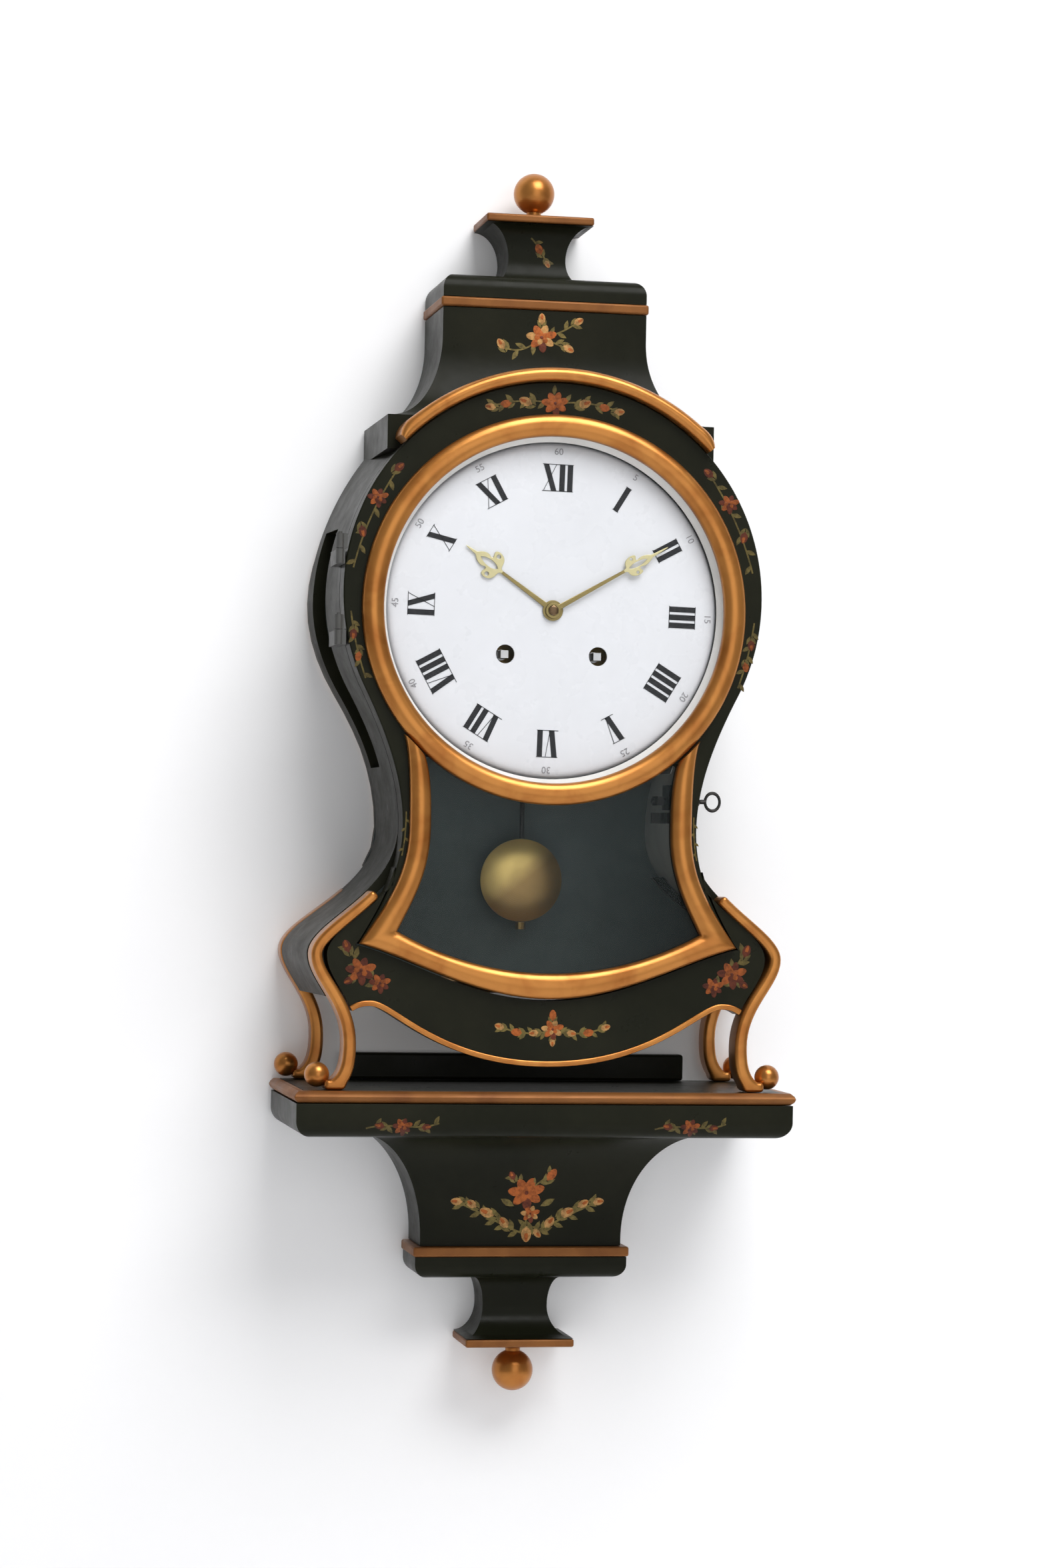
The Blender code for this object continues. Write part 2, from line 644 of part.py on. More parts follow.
def build_sides():
    outer = side_curve(0.0)
    inner = side_curve(WALL)[:len(outer)]
    back = -(BACK_THICK + GAP)
    front = DOOR_BACK + DOOR_GAP
    for name, sign in (("right_side", 1), ("left_side", -1)):
        bm = strip_between([(sign * x, z) for x, z in outer], [(sign * x, z) for x, z in inner], back, front)
        side = place(name, swelled(bm), LACQUER)
        near = WAIST_HALF - 2 * WALL
        far = DRUM_R + 2 * WALL
        low = (min(sign * near, sign * far), -SLOT_FRONT, DIAL_Z - SLOT_DROP)
        high = (max(sign * near, sign * far), -SLOT_BACK, DIAL_Z + SLOT_TOP)
        boolean(side, place(name + "_slot_cutter", block(low, high), LACQUER), "DIFFERENCE")
        far = HIP_HALF + WALL
        low = (min(0.0, sign * far), -LEG_DEEP - GAP, DIAL_Z - SHELF_DROP)
        high = (max(0.0, sign * far), WALL, DIAL_Z + HEEL_TOP)
        boolean(side, place(name + "_heel_cutter", block(low, high), LACQUER), "DIFFERENCE")


def half_at(z):
    """Half width inside the sides at a height, clear of them."""
    curve = case_side(SIDE_TOP, WALL + GAP)
    for (xa, za), (xb, zb) in zip(curve, curve[1:]):
        if zb <= z <= za:
            return xa + (xb - xa) * (z - za) / (zb - za)
    return curve[-1][0]


def build_boards():
    half = arc(DRUM_CENTRE, DRUM_R - GAP, 90, SIDE_TOP, 6)[:-1]
    half += [p for p in side_curve(0.0) if p[1] > HEEL_TOP]
    half += [p for p in side_curve(LEG_ROOM) if p[1] < HEEL_TOP]
    half.append((0.0, half[-1][1]))
    place("back_board", swelled(sheet([mirrored(half)], 0.0, -BACK_THICK), True), LACQUER)
    base_low = -APRON_HUMP_DROP + 0.004
    base_high = base_low + BASE_THICK
    reach = min(half_at(base_low), half_at(base_high))
    place("base_board", block((-reach, DOOR_BACK + DOOR_GAP, DIAL_Z + base_low),
                              (reach, -LEG_DEEP - GAP, DIAL_Z + base_high)), PINE)
    seat = -PLATE_DROP - GAP
    seat_low = seat - BASE_THICK
    reach = min(half_at(seat_low), half_at(seat))
    place("seat_board", block((-reach, FRONT_PLATE_Y - PLATE - 0.002, DIAL_Z + seat_low),
                              (reach, -0.026, DIAL_Z + seat)), PINE)


def apron_half():
    """Right half of the apron under the door, from the top middle round to the bottom middle."""
    door = door_half()
    tip = [k for k, p in enumerate(door) if p == (TIP_HALF, -TIP_DROP)][0]
    clear = 2 * DOOR_GAP
    top = [(x, z - clear) for x, z in door[tip:][::-1]]
    edge = [(TIP_HALF + 2 * clear, -TIP_DROP - clear)]
    edge += [(x + clear, z - 0.3 * clear) for x, z in door[:tip][::-1] if z < -WAIST_DROP - 0.02]
    outer = [p for p in case_side(SIDE_TOP, LEG_ROOM)
             if -APRON_HUMP_DROP < p[1] < edge[-1][1] - 0.002 and p[0] > edge[-1][0]]
    hump = (APRON_HUMP_HALF, -APRON_HUMP_DROP)
    foot = (0.0, -APRON_FOOT)
    shoulder = outer[-1]
    scallop = bezier(shoulder, (shoulder[0] - 0.004, hump[1]), (hump[0] + 0.004, hump[1]), hump, 3)
    fall = foot[1] - hump[1]
    scallop += bezier(hump, (hump[0] - 0.022, hump[1]), (0.45 * hump[0], foot[1] - 0.10 * fall), foot, 10)
    return top + edge + outer + scallop


def build_apron():
    place("front_apron", sheet([mirrored(apron_half())], FRONT + APRON_THICK, FRONT), LACQUER)
    shelf = -SHELF_DROP + GAP
    reach = ANKLE_HALF - LEG_WIDE - 0.004
    place("rear_rail", block((-reach, -RAIL_THICK, DIAL_Z + shelf),
                             (reach, 0.0, DIAL_Z + shelf + RAIL_HIGH)), LACQUER)


def leg_outline(sign):
    """An S-scroll leg seen from the front: thin at its top, thicker at the ankle, with a turned-out toe."""
    outer = [p for p in case_side(SIDE_TOP, 0.0) if p[1] < -LEG_TOP_DROP]
    ground = -SHELF_DROP + GAP
    ankle = outer[-1]
    toe = (TOE_HALF, ground + TOE_HIGH)
    outer += bezier(ankle, (ankle[0], ankle[1] - 0.010), (toe[0] - 0.005, toe[1] + 0.003), toe, 5)
    inner = []
    for k, (x, z) in enumerate(outer):
        a, b = outer[max(k - 1, 0)], outer[min(k + 1, len(outer) - 1)]
        along = Vector((b[0] - a[0], b[1] - a[1])).normalized()
        share = k / (len(outer) - 1)
        width = LEG_WIDE_TOP + (LEG_WIDE - LEG_WIDE_TOP) * share
        inner.append((x + along[1] * width, z - along[0] * width))
    inner[-1] = (toe[0] - LEG_WIDE, ground)
    loop = outer + [(TOE_HALF + 0.5 * TOE_BALL_R, toe[1]), (TOE_HALF + 0.5 * TOE_BALL_R, ground)] + inner[::-1]
    return [(sign * x, z) for x, z in loop]


def build_legs():
    ball_at = (TOE_HALF + TOE_BALL_R, DIAL_Z - SHELF_DROP + TOE_BALL_R + 0.0015)
    for side, sign in (("left", -1), ("right", 1)):
        for place_name, front in (("front", FRONT), ("back", -LEG_DEEP)):
            name = f"{place_name}_{side}_leg"
            y_back = front + LEG_DEEP
            y_front = front - (0.003 if place_name == "front" else 0.0)
            scroll = sheet([leg_outline(sign)], y_back, y_front)
            toe = ball((sign * ball_at[0], 0.5 * (y_back + y_front), ball_at[1]), TOE_BALL_R, 14)
            if place_name == "back":
                scroll, toe = swelled(scroll, True), swelled(toe, True)
            leg = place(name, scroll, GILT)
            boolean(leg, place(name + "_toe", toe, GILT), "UNION")


# Door, hinges and lock


def half_round(inner, outer, y_seat, proud):
    """A moulding of half-round section between an inner and an outer (x, z) point at each station."""
    bm = bmesh.new()
    rings = []
    for (ax, az), (bx, bz) in zip(inner, outer):
        ring = [bm.verts.new((ax, y_seat, DIAL_Z + az))]
        for k in range(5):
            share = 0.5 * (1 - math.cos(math.pi * k / 4))
            y = y_seat - proud * (0.4 + 0.6 * math.sin(math.pi * k / 4))
            ring.append(bm.verts.new((ax + (bx - ax) * share, y, DIAL_Z + az + (bz - az) * share)))
        ring.append(bm.verts.new((bx, y_seat, DIAL_Z + bz)))
        rings.append(ring)
    size = len(rings[0])
    for one, two in zip(rings, rings[1:]):
        for k in range(size):
            bm.faces.new((one[k], one[(k + 1) % size], two[(k + 1) % size], two[k]))
    bm.faces.new(rings[0])
    bm.faces.new(rings[-1])
    return bm


def window_loop(grow):
    """Edge of the pendulum window, wider than the moulding's inner edge by grow."""
    reach = BEZEL_R - WINDOW_TUCK - grow
    top = arc((0.0, 0.0), reach, -90, -52, 8)
    side = [(x + grow, z) for x, z in window_side(True)[1:-1]]
    half = top + side + [(x + grow, z - grow) for x, z in window_foot(True)[:-1]]
    half.insert(len(top) + len(side), (WINDOW_CORNER_HALF + grow, -WINDOW_CORNER_DROP))
    half.append((0.0, -WINDOW_FOOT - grow))
    return mirrored(half)


WINDOW_TUCK = 0.004         # how far the window's top runs up behind the bezel
GLASS_SEAT = 0.003          # how far each opening in the frame runs past its moulding
HINGE_X = -(DRUM_R + 0.0025)
HINGE_Y = FRONT             # on the front face, so the door's edge swings clear of its neighbours
HINGE_SPREAD = 0.022        # hinges above and below the drum's middle
KNUCKLE_R = 0.0022
KNUCKLE_HIGH = 0.008
PIN_R = 0.0011
LEAF_THICK = 0.002
LEAF_REACH = 0.012          # of the case leaf behind the door
LOCK_Z = -0.103
LOCK_Y = DOOR_BACK + 0.013
SHANK_R = 0.0016
LOCK_PLATE = 0.004          # thickness of the plate that carries the key
LOCK_PLATE_HALF = 0.008
LOCK_PLATE_DROP = 0.005
LOCK_PLATE_RISE = 0.009
TONGUE_LONG = 0.011         # turning tongue, which points at the door when it is unlocked
TONGUE_HALF = 0.0025
TONGUE_THICK = 0.0035
TONGUE_IN = 0.0075          # from the side wall's inner face
CATCH_THICK = 0.002
CATCH_LOW = 0.0125          # below the key's axis
CATCH_HIGH = 0.006
CATCH_ROOM = 0.001          # between the tongue and the hook
POST_WIDE = 0.0033
POST_IN = 0.0027            # room for the swing beside the side wall
KEY_BOW_R = 0.0052
KEY_WIRE = 0.0014


def build_door():
    dial_hole = arc((0.0, 0.0), DIAL_OPENING_R + GLASS_SEAT, 0, 360 - 360 / 48, 47)
    loops = [mirrored(door_half()), dial_hole, window_loop(GLASS_SEAT)]
    hinge_origin = (HINGE_X, HINGE_Y, DIAL_Z + DRUM_UP)
    place("door_frame", sheet(loops, DOOR_BACK, FRONT), LACQUER, hinge_origin)

    seat = FRONT - GAP
    width = BEZEL_R - DIAL_OPENING_R
    profile = [(DIAL_OPENING_R, seat)]
    for k in range(6):
        bow = math.pi * k / 5
        profile.append((DIAL_OPENING_R + 0.5 * width * (1 - math.cos(bow)),
                        seat - MOULDING_PROUD * (0.4 + 0.6 * math.sin(bow))))
    profile.append((BEZEL_R, seat))
    place("dial_bezel", turned(profile, (0.0, 0.0), 48), GILT, hinge_origin)

    inner = window_side(True) + window_foot(True)
    outer = window_side(False) + window_foot(False)
    inner += [(-x, z) for x, z in inner[-2::-1]]
    outer += [(-x, z) for x, z in outer[-2::-1]]
    place("window_moulding", half_round(inner, outer, seat, MOULDING_PROUD), GILT, hinge_origin)

    pane = FRONT + GAP
    glass_r = DIAL_OPENING_R + GLASS_SEAT - GAP
    place("dial_glass", turned([(0.0, pane + GLASS), (glass_r, pane + GLASS), (glass_r, pane), (0.0, pane)],
                               (0.0, 0.0), 48), CLEAR, hinge_origin)
    place("window_glass", sheet([window_loop(GLASS_SEAT - GAP)], pane + GLASS, pane), CLEAR, hinge_origin)


def drum_half(rise):
    """Half width of the drum at a height from its middle."""
    return math.sqrt(DRUM_R ** 2 - rise ** 2)


def build_hinges():
    bore = PIN_R + GAP
    down = -KNUCKLE_HIGH - GAP
    near = {"upper": HINGE_SPREAD - KNUCKLE_HIGH - GAP, "lower": HINGE_SPREAD + GAP}
    near_door = {"upper": HINGE_SPREAD, "lower": HINGE_SPREAD - KNUCKLE_HIGH}
    for name, z in (("upper", DRUM_UP + HINGE_SPREAD), ("lower", DRUM_UP - HINGE_SPREAD)):
        low = DIAL_Z + z
        axis = (HINGE_X, HINGE_Y, low)
        tube = [(bore, 0.0), (KNUCKLE_R, 0.0), (KNUCKLE_R, KNUCKLE_HIGH), (bore, KNUCKLE_HIGH)]
        knuckle = place(f"{name}_door_hinge", turned(tube, axis, 16, "Z"), BRASS, axis)
        leaf = block((HINGE_X + 0.5 * (bore + KNUCKLE_R), HINGE_Y, low),
                     (-drum_half(near_door[name]) - GAP, HINGE_Y + LEAF_THICK, low + KNUCKLE_HIGH))
        boolean(knuckle, place(f"{name}_door_leaf", leaf, BRASS), "UNION")
        pin = [(0.0, down), (KNUCKLE_R, down), (KNUCKLE_R, -GAP), (PIN_R, -GAP),
               (PIN_R, KNUCKLE_HIGH + 0.001), (0.0, KNUCKLE_HIGH + 0.001)]
        post = place(f"{name}_case_hinge", turned(pin, axis, 16, "Z"), BRASS)
        leaf = block((HINGE_X - 0.5 * LEAF_THICK, HINGE_Y, low + down),
                     (-drum_half(near[name]) - GAP, DOOR_BACK + LEAF_REACH, low - GAP))
        boolean(post, place(f"{name}_case_leaf", leaf, BRASS), "UNION")


def build_lock():
    """A key in the right side whose inner end turns a tongue behind a hook on the door."""
    z = DIAL_Z + LOCK_Z
    wall_in = min(map(half_at, (LOCK_Z - LOCK_PLATE_DROP, LOCK_Z + LOCK_PLATE_RISE, LOCK_Z - CATCH_LOW)))
    wall_out = wall_in + WALL + GAP
    box = place("lock_box", block((wall_in - LOCK_PLATE, LOCK_Y - LOCK_PLATE_HALF, z - LOCK_PLATE_DROP),
                                  (wall_in, LOCK_Y + LOCK_PLATE_HALF, z + LOCK_PLATE_RISE)), BRASS)
    axis = (0.0, LOCK_Y, z)
    tongue_x = wall_in - TONGUE_IN
    bolt = block((tongue_x - TONGUE_THICK, LOCK_Y - TONGUE_LONG, z - TONGUE_HALF),
                 (tongue_x, LOCK_Y + TONGUE_HALF, z + TONGUE_HALF))
    tongue = place("lock_bolt", bolt, STEEL, (tongue_x, LOCK_Y, z))
    hole_r = SHANK_R + GAP
    hole = [(0.0, 0.5 * wall_in), (hole_r, 0.5 * wall_in), (hole_r, 2 * wall_in), (0.0, 2 * wall_in)]
    for owner in (box, tongue, bpy.data.objects["right_side"]):
        boolean(owner, place(f"{owner.name}_keyhole_cutter", turned(hole, axis, 16, "X"), BRASS), "DIFFERENCE")

    hook_y = LOCK_Y + TONGUE_HALF + CATCH_ROOM
    low, high = z - CATCH_LOW, z - CATCH_LOW + CATCH_HIGH
    post_x = wall_in - POST_IN
    hook = block((tongue_x - TONGUE_THICK, hook_y, low), (post_x, hook_y + CATCH_THICK, high))
    catch = place("door_catch", hook, BRASS, (HINGE_X, HINGE_Y, DIAL_Z + DRUM_UP))
    post = block((post_x - POST_WIDE, DOOR_BACK + GAP, low), (post_x, hook_y + 0.5 * CATCH_THICK, high))
    boolean(catch, place("door_catch_post", post, BRASS), "UNION")

    inner = tongue_x - TONGUE_THICK - CATCH_ROOM
    collar = wall_out + 2 * SHANK_R
    outer = wall_out + 6 * SHANK_R
    profile = [(0.0, inner), (SHANK_R, inner), (SHANK_R, collar), (1.7 * SHANK_R, collar),
               (1.7 * SHANK_R, collar + SHANK_R), (SHANK_R, collar + SHANK_R), (SHANK_R, outer), (0.0, outer)]
    key = place("key", turned(profile, axis, 14, "X"), STEEL, (wall_out, LOCK_Y, z))
    ring = [(KEY_BOW_R + KEY_WIRE * math.cos(math.tau * k / 8), LOCK_Y + KEY_WIRE * math.sin(math.tau * k / 8))
            for k in range(8)]
    bow = turned(ring, (outer + KEY_BOW_R, LOCK_Z), 20)
    boolean(key, place("key_bow", bow, STEEL), "UNION")


# Movement, dial and hands

PLATE_FRONT = FRONT_PLATE_Y - PLATE
DIAL_RIM_Y = DOOR_BACK + DOOR_GAP
DIAL_CROWN_Y = DIAL_RIM_Y - DIAL_DOME
CENTRE = (0.0, 0.0)
GOING = (WINDING_HALF, -WINDING_DROP)
STRIKE = (-WINDING_HALF, -WINDING_DROP)
ARBOR_R = 0.0030
CENTRE_R = 0.0015
PIPE_R = 0.0024
HOUR_PIPE_R = 0.0038
TRAIN = math.hypot(WINDING_HALF, WINDING_DROP)
GREAT_R = TRAIN * GREAT_TEETH / (GREAT_TEETH + PINION_TEETH)
GOING_WHEEL_Y = BACK_PLATE_Y - 0.028
STRIKE_WHEEL_Y = BACK_PLATE_Y - 0.006
DRUM_ROOM = 0.003           # between a barrel and the plate beside it
CANNON_Y = PLATE_FRONT - DRUM_ROOM
HOUR_WHEEL_Y = CANNON_Y - 0.0045
PIVOT = (0.0, PENDULUM_PIVOT_UP)
SQUARE_HALF = 0.0021        # winding squares
SQUARE_LONG = 0.010
SQUARE_OUT = 0.008          # their tips in front of the dial's rim
SINK = 0.001                # how deep a pressed-in part sits in its seat
DIAL_FEET = ((-0.040, 0.030), (0.040, 0.030), (0.0, -0.044))
DIAL_FOOT_R = 0.0015
DIAL_HOLE_ROOM = 0.0008     # round the hour pipe
HAND_THICK = 0.0007
HAND_STEM = 0.0008          # half width of a hand's stem
HAND_WIDE = 0.0052          # half width of its ornament
HAND_BOSS = 0.0016          # wall round its bore
HOUR_HAND_Y = DIAL_CROWN_Y - 0.0006
MINUTE_HAND_Y = HOUR_HAND_Y - 0.0015
NUT_Y = MINUTE_HAND_Y - 0.0010
NUT_R = 0.0030
CRUTCH_HALF = 0.0014
CRUTCH_THICK = 0.0016
CRUTCH_DROP = 0.042         # pallet arbor to the fork
FORK_HALF = 0.0034
FORK_HIGH = 0.003
PRONG_HALF = 0.0006
COCK_HALF = 0.009
COCK_HIGH = 0.006
HANG_UP = 0.006             # suspension above the pivot
SPRING_HALF = 0.003
SPRING_THICK = 0.0008
SPRING_DROP = 0.010         # pivot to the rod's top
ROD_R = 0.0014
BOB_RIM = 0.0012            # half thickness of the bob at its rim
BOB_SWELL = 0.0035          # and how much more at its middle
RATING_NUT_R = 0.003
RATING_NUT_HIGH = 0.004
BELL_WALL = 0.0015
BELL_BACK = 0.026           # wall to the bell's crown
BELL_DEEP = 0.020
BELL_POST_R = 0.0025
HAMMER_OUT = 0.040          # wall to the middle of the hammer
HAMMER_ARM = 0.001          # half thickness of its arm
HAMMER_HEAD_R = 0.004
HAMMER_HEAD_HALF = 0.003


def joined(piece, *bodies):
    """Fuse further solids onto a piece."""
    for k, bm in enumerate(bodies):
        boolean(piece, place(f"{piece.name}_part_{k}", bm, BRASS), "UNION")
    return piece


def drilled(piece, *bores):
    """Bore round holes along Y, each given as a centre and a radius."""
    for k, (centre, radius) in enumerate(bores):
        drill = rod(centre, radius, 0.01, -0.2, 20)
        boolean(piece, place(f"{piece.name}_bore_{k}", drill, BRASS), "DIFFERENCE")
    return piece


def build_plates():
    right = [(PLATE_HALF, -PLATE_DROP), (PLATE_HALF, PLATE_UP)]
    corners = right + [(-x, z) for x, z in right[::-1]]
    holes = [arc(GOING, ARBOR_R + GAP, 0, 340, 17), arc(STRIKE, ARBOR_R + GAP, 0, 340, 17)]
    front_holes = holes + [arc(CENTRE, CENTRE_R + GAP, 0, 330, 11)]
    front = place("front_plate", sheet([corners] + front_holes, FRONT_PLATE_Y, PLATE_FRONT), BRASS)
    joined(front, rod((0.0, MOTION_SPACING), CENTRE_R, FRONT_PLATE_Y - SINK, HOUR_WHEEL_Y - 4 * SINK))
    back_holes = [arc(PIVOT, CENTRE_R + GAP, 0, 330, 11)]
    back = place("back_plate", sheet([corners] + back_holes, BACK_PLATE_Y + PLATE, BACK_PLATE_Y), BRASS)
    posts = []
    for x in (-PLATE_HALF + PILLAR_IN, PLATE_HALF - PILLAR_IN):
        for z in (-PLATE_DROP + PILLAR_IN, PLATE_UP - PILLAR_IN):
            posts.append(rod((x, z), PILLAR_R, BACK_PLATE_Y + SINK, FRONT_PLATE_Y + GAP, 14))
    joined(back, *posts)


def build_barrel(name, centre, wheel_y, drum_back, drum_front, first_tooth):
    bore = ARBOR_R + GAP
    wheel = gear(GREAT_TEETH, GREAT_R, 2 * bore, centre, wheel_y, WHEEL_THICK, first_tooth)
    profile = [(bore, drum_back), (BARREL_R, drum_back), (BARREL_R, drum_front), (bore, drum_front)]
    drum = turned(profile, centre, 24)
    origin = (centre[0], wheel_y, DIAL_Z + centre[1])
    joined(place(name, wheel, BRASS, origin), drum)


def build_winding_arbor(name, centre):
    tip = DIAL_RIM_Y - SQUARE_OUT
    shaft = rod(centre, ARBOR_R, BACK_PLATE_Y - GAP, tip + SQUARE_LONG, 18)
    square = block((centre[0] - SQUARE_HALF, tip, DIAL_Z + centre[1] - SQUARE_HALF),
                   (centre[0] + SQUARE_HALF, tip + SQUARE_LONG + SINK, DIAL_Z + centre[1] + SQUARE_HALF))
    joined(place(name, shaft, STEEL, (centre[0], tip, DIAL_Z + centre[1])), square)


def build_train():
    towards = math.atan2(GOING[1], GOING[0])
    pitch = math.tau / GREAT_TEETH
    build_barrel("going_barrel", GOING, GOING_WHEEL_Y, BACK_PLATE_Y - DRUM_ROOM, GOING_WHEEL_Y - 0.5 * SINK,
                 towards + math.pi + 0.5 * pitch)
    build_barrel("strike_barrel", STRIKE, STRIKE_WHEEL_Y, STRIKE_WHEEL_Y - SINK, FRONT_PLATE_Y + DRUM_ROOM, 0.0)
    build_winding_arbor("going_winding_arbor", GOING)
    build_winding_arbor("strike_winding_arbor", STRIKE)

    pinion_r = TRAIN - GREAT_R
    hand_end = NUT_Y + GAP / 3
    shaft = rod(CENTRE, CENTRE_R, BACK_PLATE_Y - GAP, hand_end)
    arbor = place("centre_arbor", shaft, STEEL, (0, hand_end, DIAL_Z))
    spare = 0.8 * SINK          # pinion leaves wider than the wheel they mesh with
    joined(arbor, gear(PINION_TEETH, pinion_r, 0.7 * CENTRE_R, CENTRE, GOING_WHEEL_Y + spare,
                       WHEEL_THICK + 2 * spare, towards))


def build_motion_work():
    """Cannon pinion, minute wheel and hour wheel, which turn the hour hand once for twelve turns."""
    up = 0.5 * math.pi
    cannon_r = MOTION_SPACING * CANNON_TEETH / (CANNON_TEETH + MINUTE_TEETH)
    hour_r = MOTION_SPACING * HOUR_TEETH / (HOUR_TEETH + MINUTE_PINION_TEETH)
    bore = CENTRE_R + GAP
    pipe_end = NUT_Y + GAP - 0.0001
    pipe = turned([(bore, CANNON_Y), (PIPE_R, CANNON_Y), (PIPE_R, pipe_end), (bore, pipe_end)], CENTRE, 18)
    cannon = gear(CANNON_TEETH, cannon_r, 0.5 * (bore + PIPE_R), CENTRE, CANNON_Y - GAP, WHEEL_THICK, up)
    joined(place("cannon_pinion", cannon, STEEL, (0, CANNON_Y, DIAL_Z)), pipe)

    post = (0.0, MOTION_SPACING)
    half_gap = -up + math.pi / MINUTE_TEETH
    wheel = gear(MINUTE_TEETH, MOTION_SPACING - cannon_r, bore, post, CANNON_Y, WHEEL_THICK, half_gap)
    pinion = gear(MINUTE_PINION_TEETH, MOTION_SPACING - hour_r, bore + GAP, post, CANNON_Y - SINK,
                  CANNON_Y - HOUR_WHEEL_Y + WHEEL_THICK - 0.5 * SINK, -up)
    joined(place("minute_wheel", wheel, BRASS, (0, CANNON_Y, DIAL_Z + MOTION_SPACING)), pinion)

    inner = PIPE_R + GAP
    seat = 0.5 * (inner + HOUR_PIPE_R)
    hour = gear(HOUR_TEETH, hour_r, seat, CENTRE, HOUR_WHEEL_Y - GAP, WHEEL_THICK, up + math.pi / HOUR_TEETH)
    end = HOUR_HAND_Y - HAND_THICK - 0.0001
    profile = [(inner, HOUR_WHEEL_Y), (HOUR_PIPE_R, HOUR_WHEEL_Y), (HOUR_PIPE_R, end), (inner, end)]
    joined(place("hour_wheel", hour, BRASS, (0, HOUR_WHEEL_Y, DIAL_Z)), turned(profile, CENTRE, 20))


def build_dial():
    hole = HOUR_PIPE_R + DIAL_HOLE_ROOM
    steps = 4
    face, rear = [], []
    for k in range(steps + 1):
        r = hole + (DIAL_R - hole) * k / steps
        y = DIAL_RIM_Y - DIAL_DOME * (1 - (r / DIAL_R) ** 2)
        face.append((r, y))
        rear.append((r, y + DIAL_THICK))
    dial = place("dial", turned(face + rear[::-1], CENTRE, 36), ENAMEL)
    feet = []
    for x, z in DIAL_FEET:
        y = DIAL_RIM_Y - DIAL_DOME * (1 - (math.hypot(x, z) / DIAL_R) ** 2) + 0.5 * DIAL_THICK
        feet.append(rod((x, z), DIAL_FOOT_R, PLATE_FRONT - GAP, y, 10))
    joined(dial, *feet)
    drilled(dial, (GOING, WINDING_HOLE_R), (STRIKE, WINDING_HOLE_R))


def hand_loops(long, bore, ornament):
    """Outline of a pierced hand that points up: boss, stem, heart-shaped ornament and tip."""
    boss, stem, wide = bore + HAND_BOSS, HAND_STEM, HAND_WIDE
    right = [(stem, ornament - 0.007), (wide, ornament + 0.001), (0.72 * wide, ornament + 0.0045),
             (stem, ornament + 0.006), (1.9 * stem, ornament + 0.009), (0.7 * stem, long - 0.004), (0.0, long)]
    start = math.degrees(math.acos(stem / boss))
    around = arc((0.0, 0.0), boss, 180 - start, 360 + start, 16)
    half = right[:-1]
    outline = around + half + [right[-1]] + [(-x, z) for x, z in half[::-1]]
    heart = [(0.0, ornament - 0.0045), (0.62 * wide, ornament + 0.001), (0.40 * wide, ornament + 0.0035),
             (0.0, ornament + 0.0022), (-0.40 * wide, ornament + 0.0035), (-0.62 * wide, ornament + 0.001)]
    return [outline, arc((0.0, 0.0), bore, 0, 330, 11), heart]


def turned_loops(loops, clockwise_deg):
    angle = math.radians(clockwise_deg)
    c, s = math.cos(angle), math.sin(angle)
    return [[(x * c + z * s, z * c - x * s) for x, z in loop] for loop in loops]


def build_hands():
    y = HOUR_HAND_Y
    hour = turned_loops(hand_loops(HOUR_HAND_LONG, HOUR_PIPE_R + GAP, 0.70 * HOUR_HAND_LONG), HOUR_AT)
    place("hour_hand", sheet(hour, y, y - HAND_THICK), BRASS, (0, y, DIAL_Z))
    y = MINUTE_HAND_Y
    minute = turned_loops(hand_loops(MINUTE_HAND_LONG, PIPE_R + GAP, 0.76 * MINUTE_HAND_LONG), MINUTE_AT)
    place("minute_hand", sheet(minute, y, y - HAND_THICK), BRASS, (0, y, DIAL_Z))
    nut = [(0.0, NUT_Y), (NUT_R, NUT_Y), (0.87 * NUT_R, NUT_Y - 0.85 * HAND_THICK), (0.0, NUT_Y - HAND_THICK)]
    place("hand_nut", turned(nut, CENTRE, 16), BRASS, (0, NUT_Y, DIAL_Z))


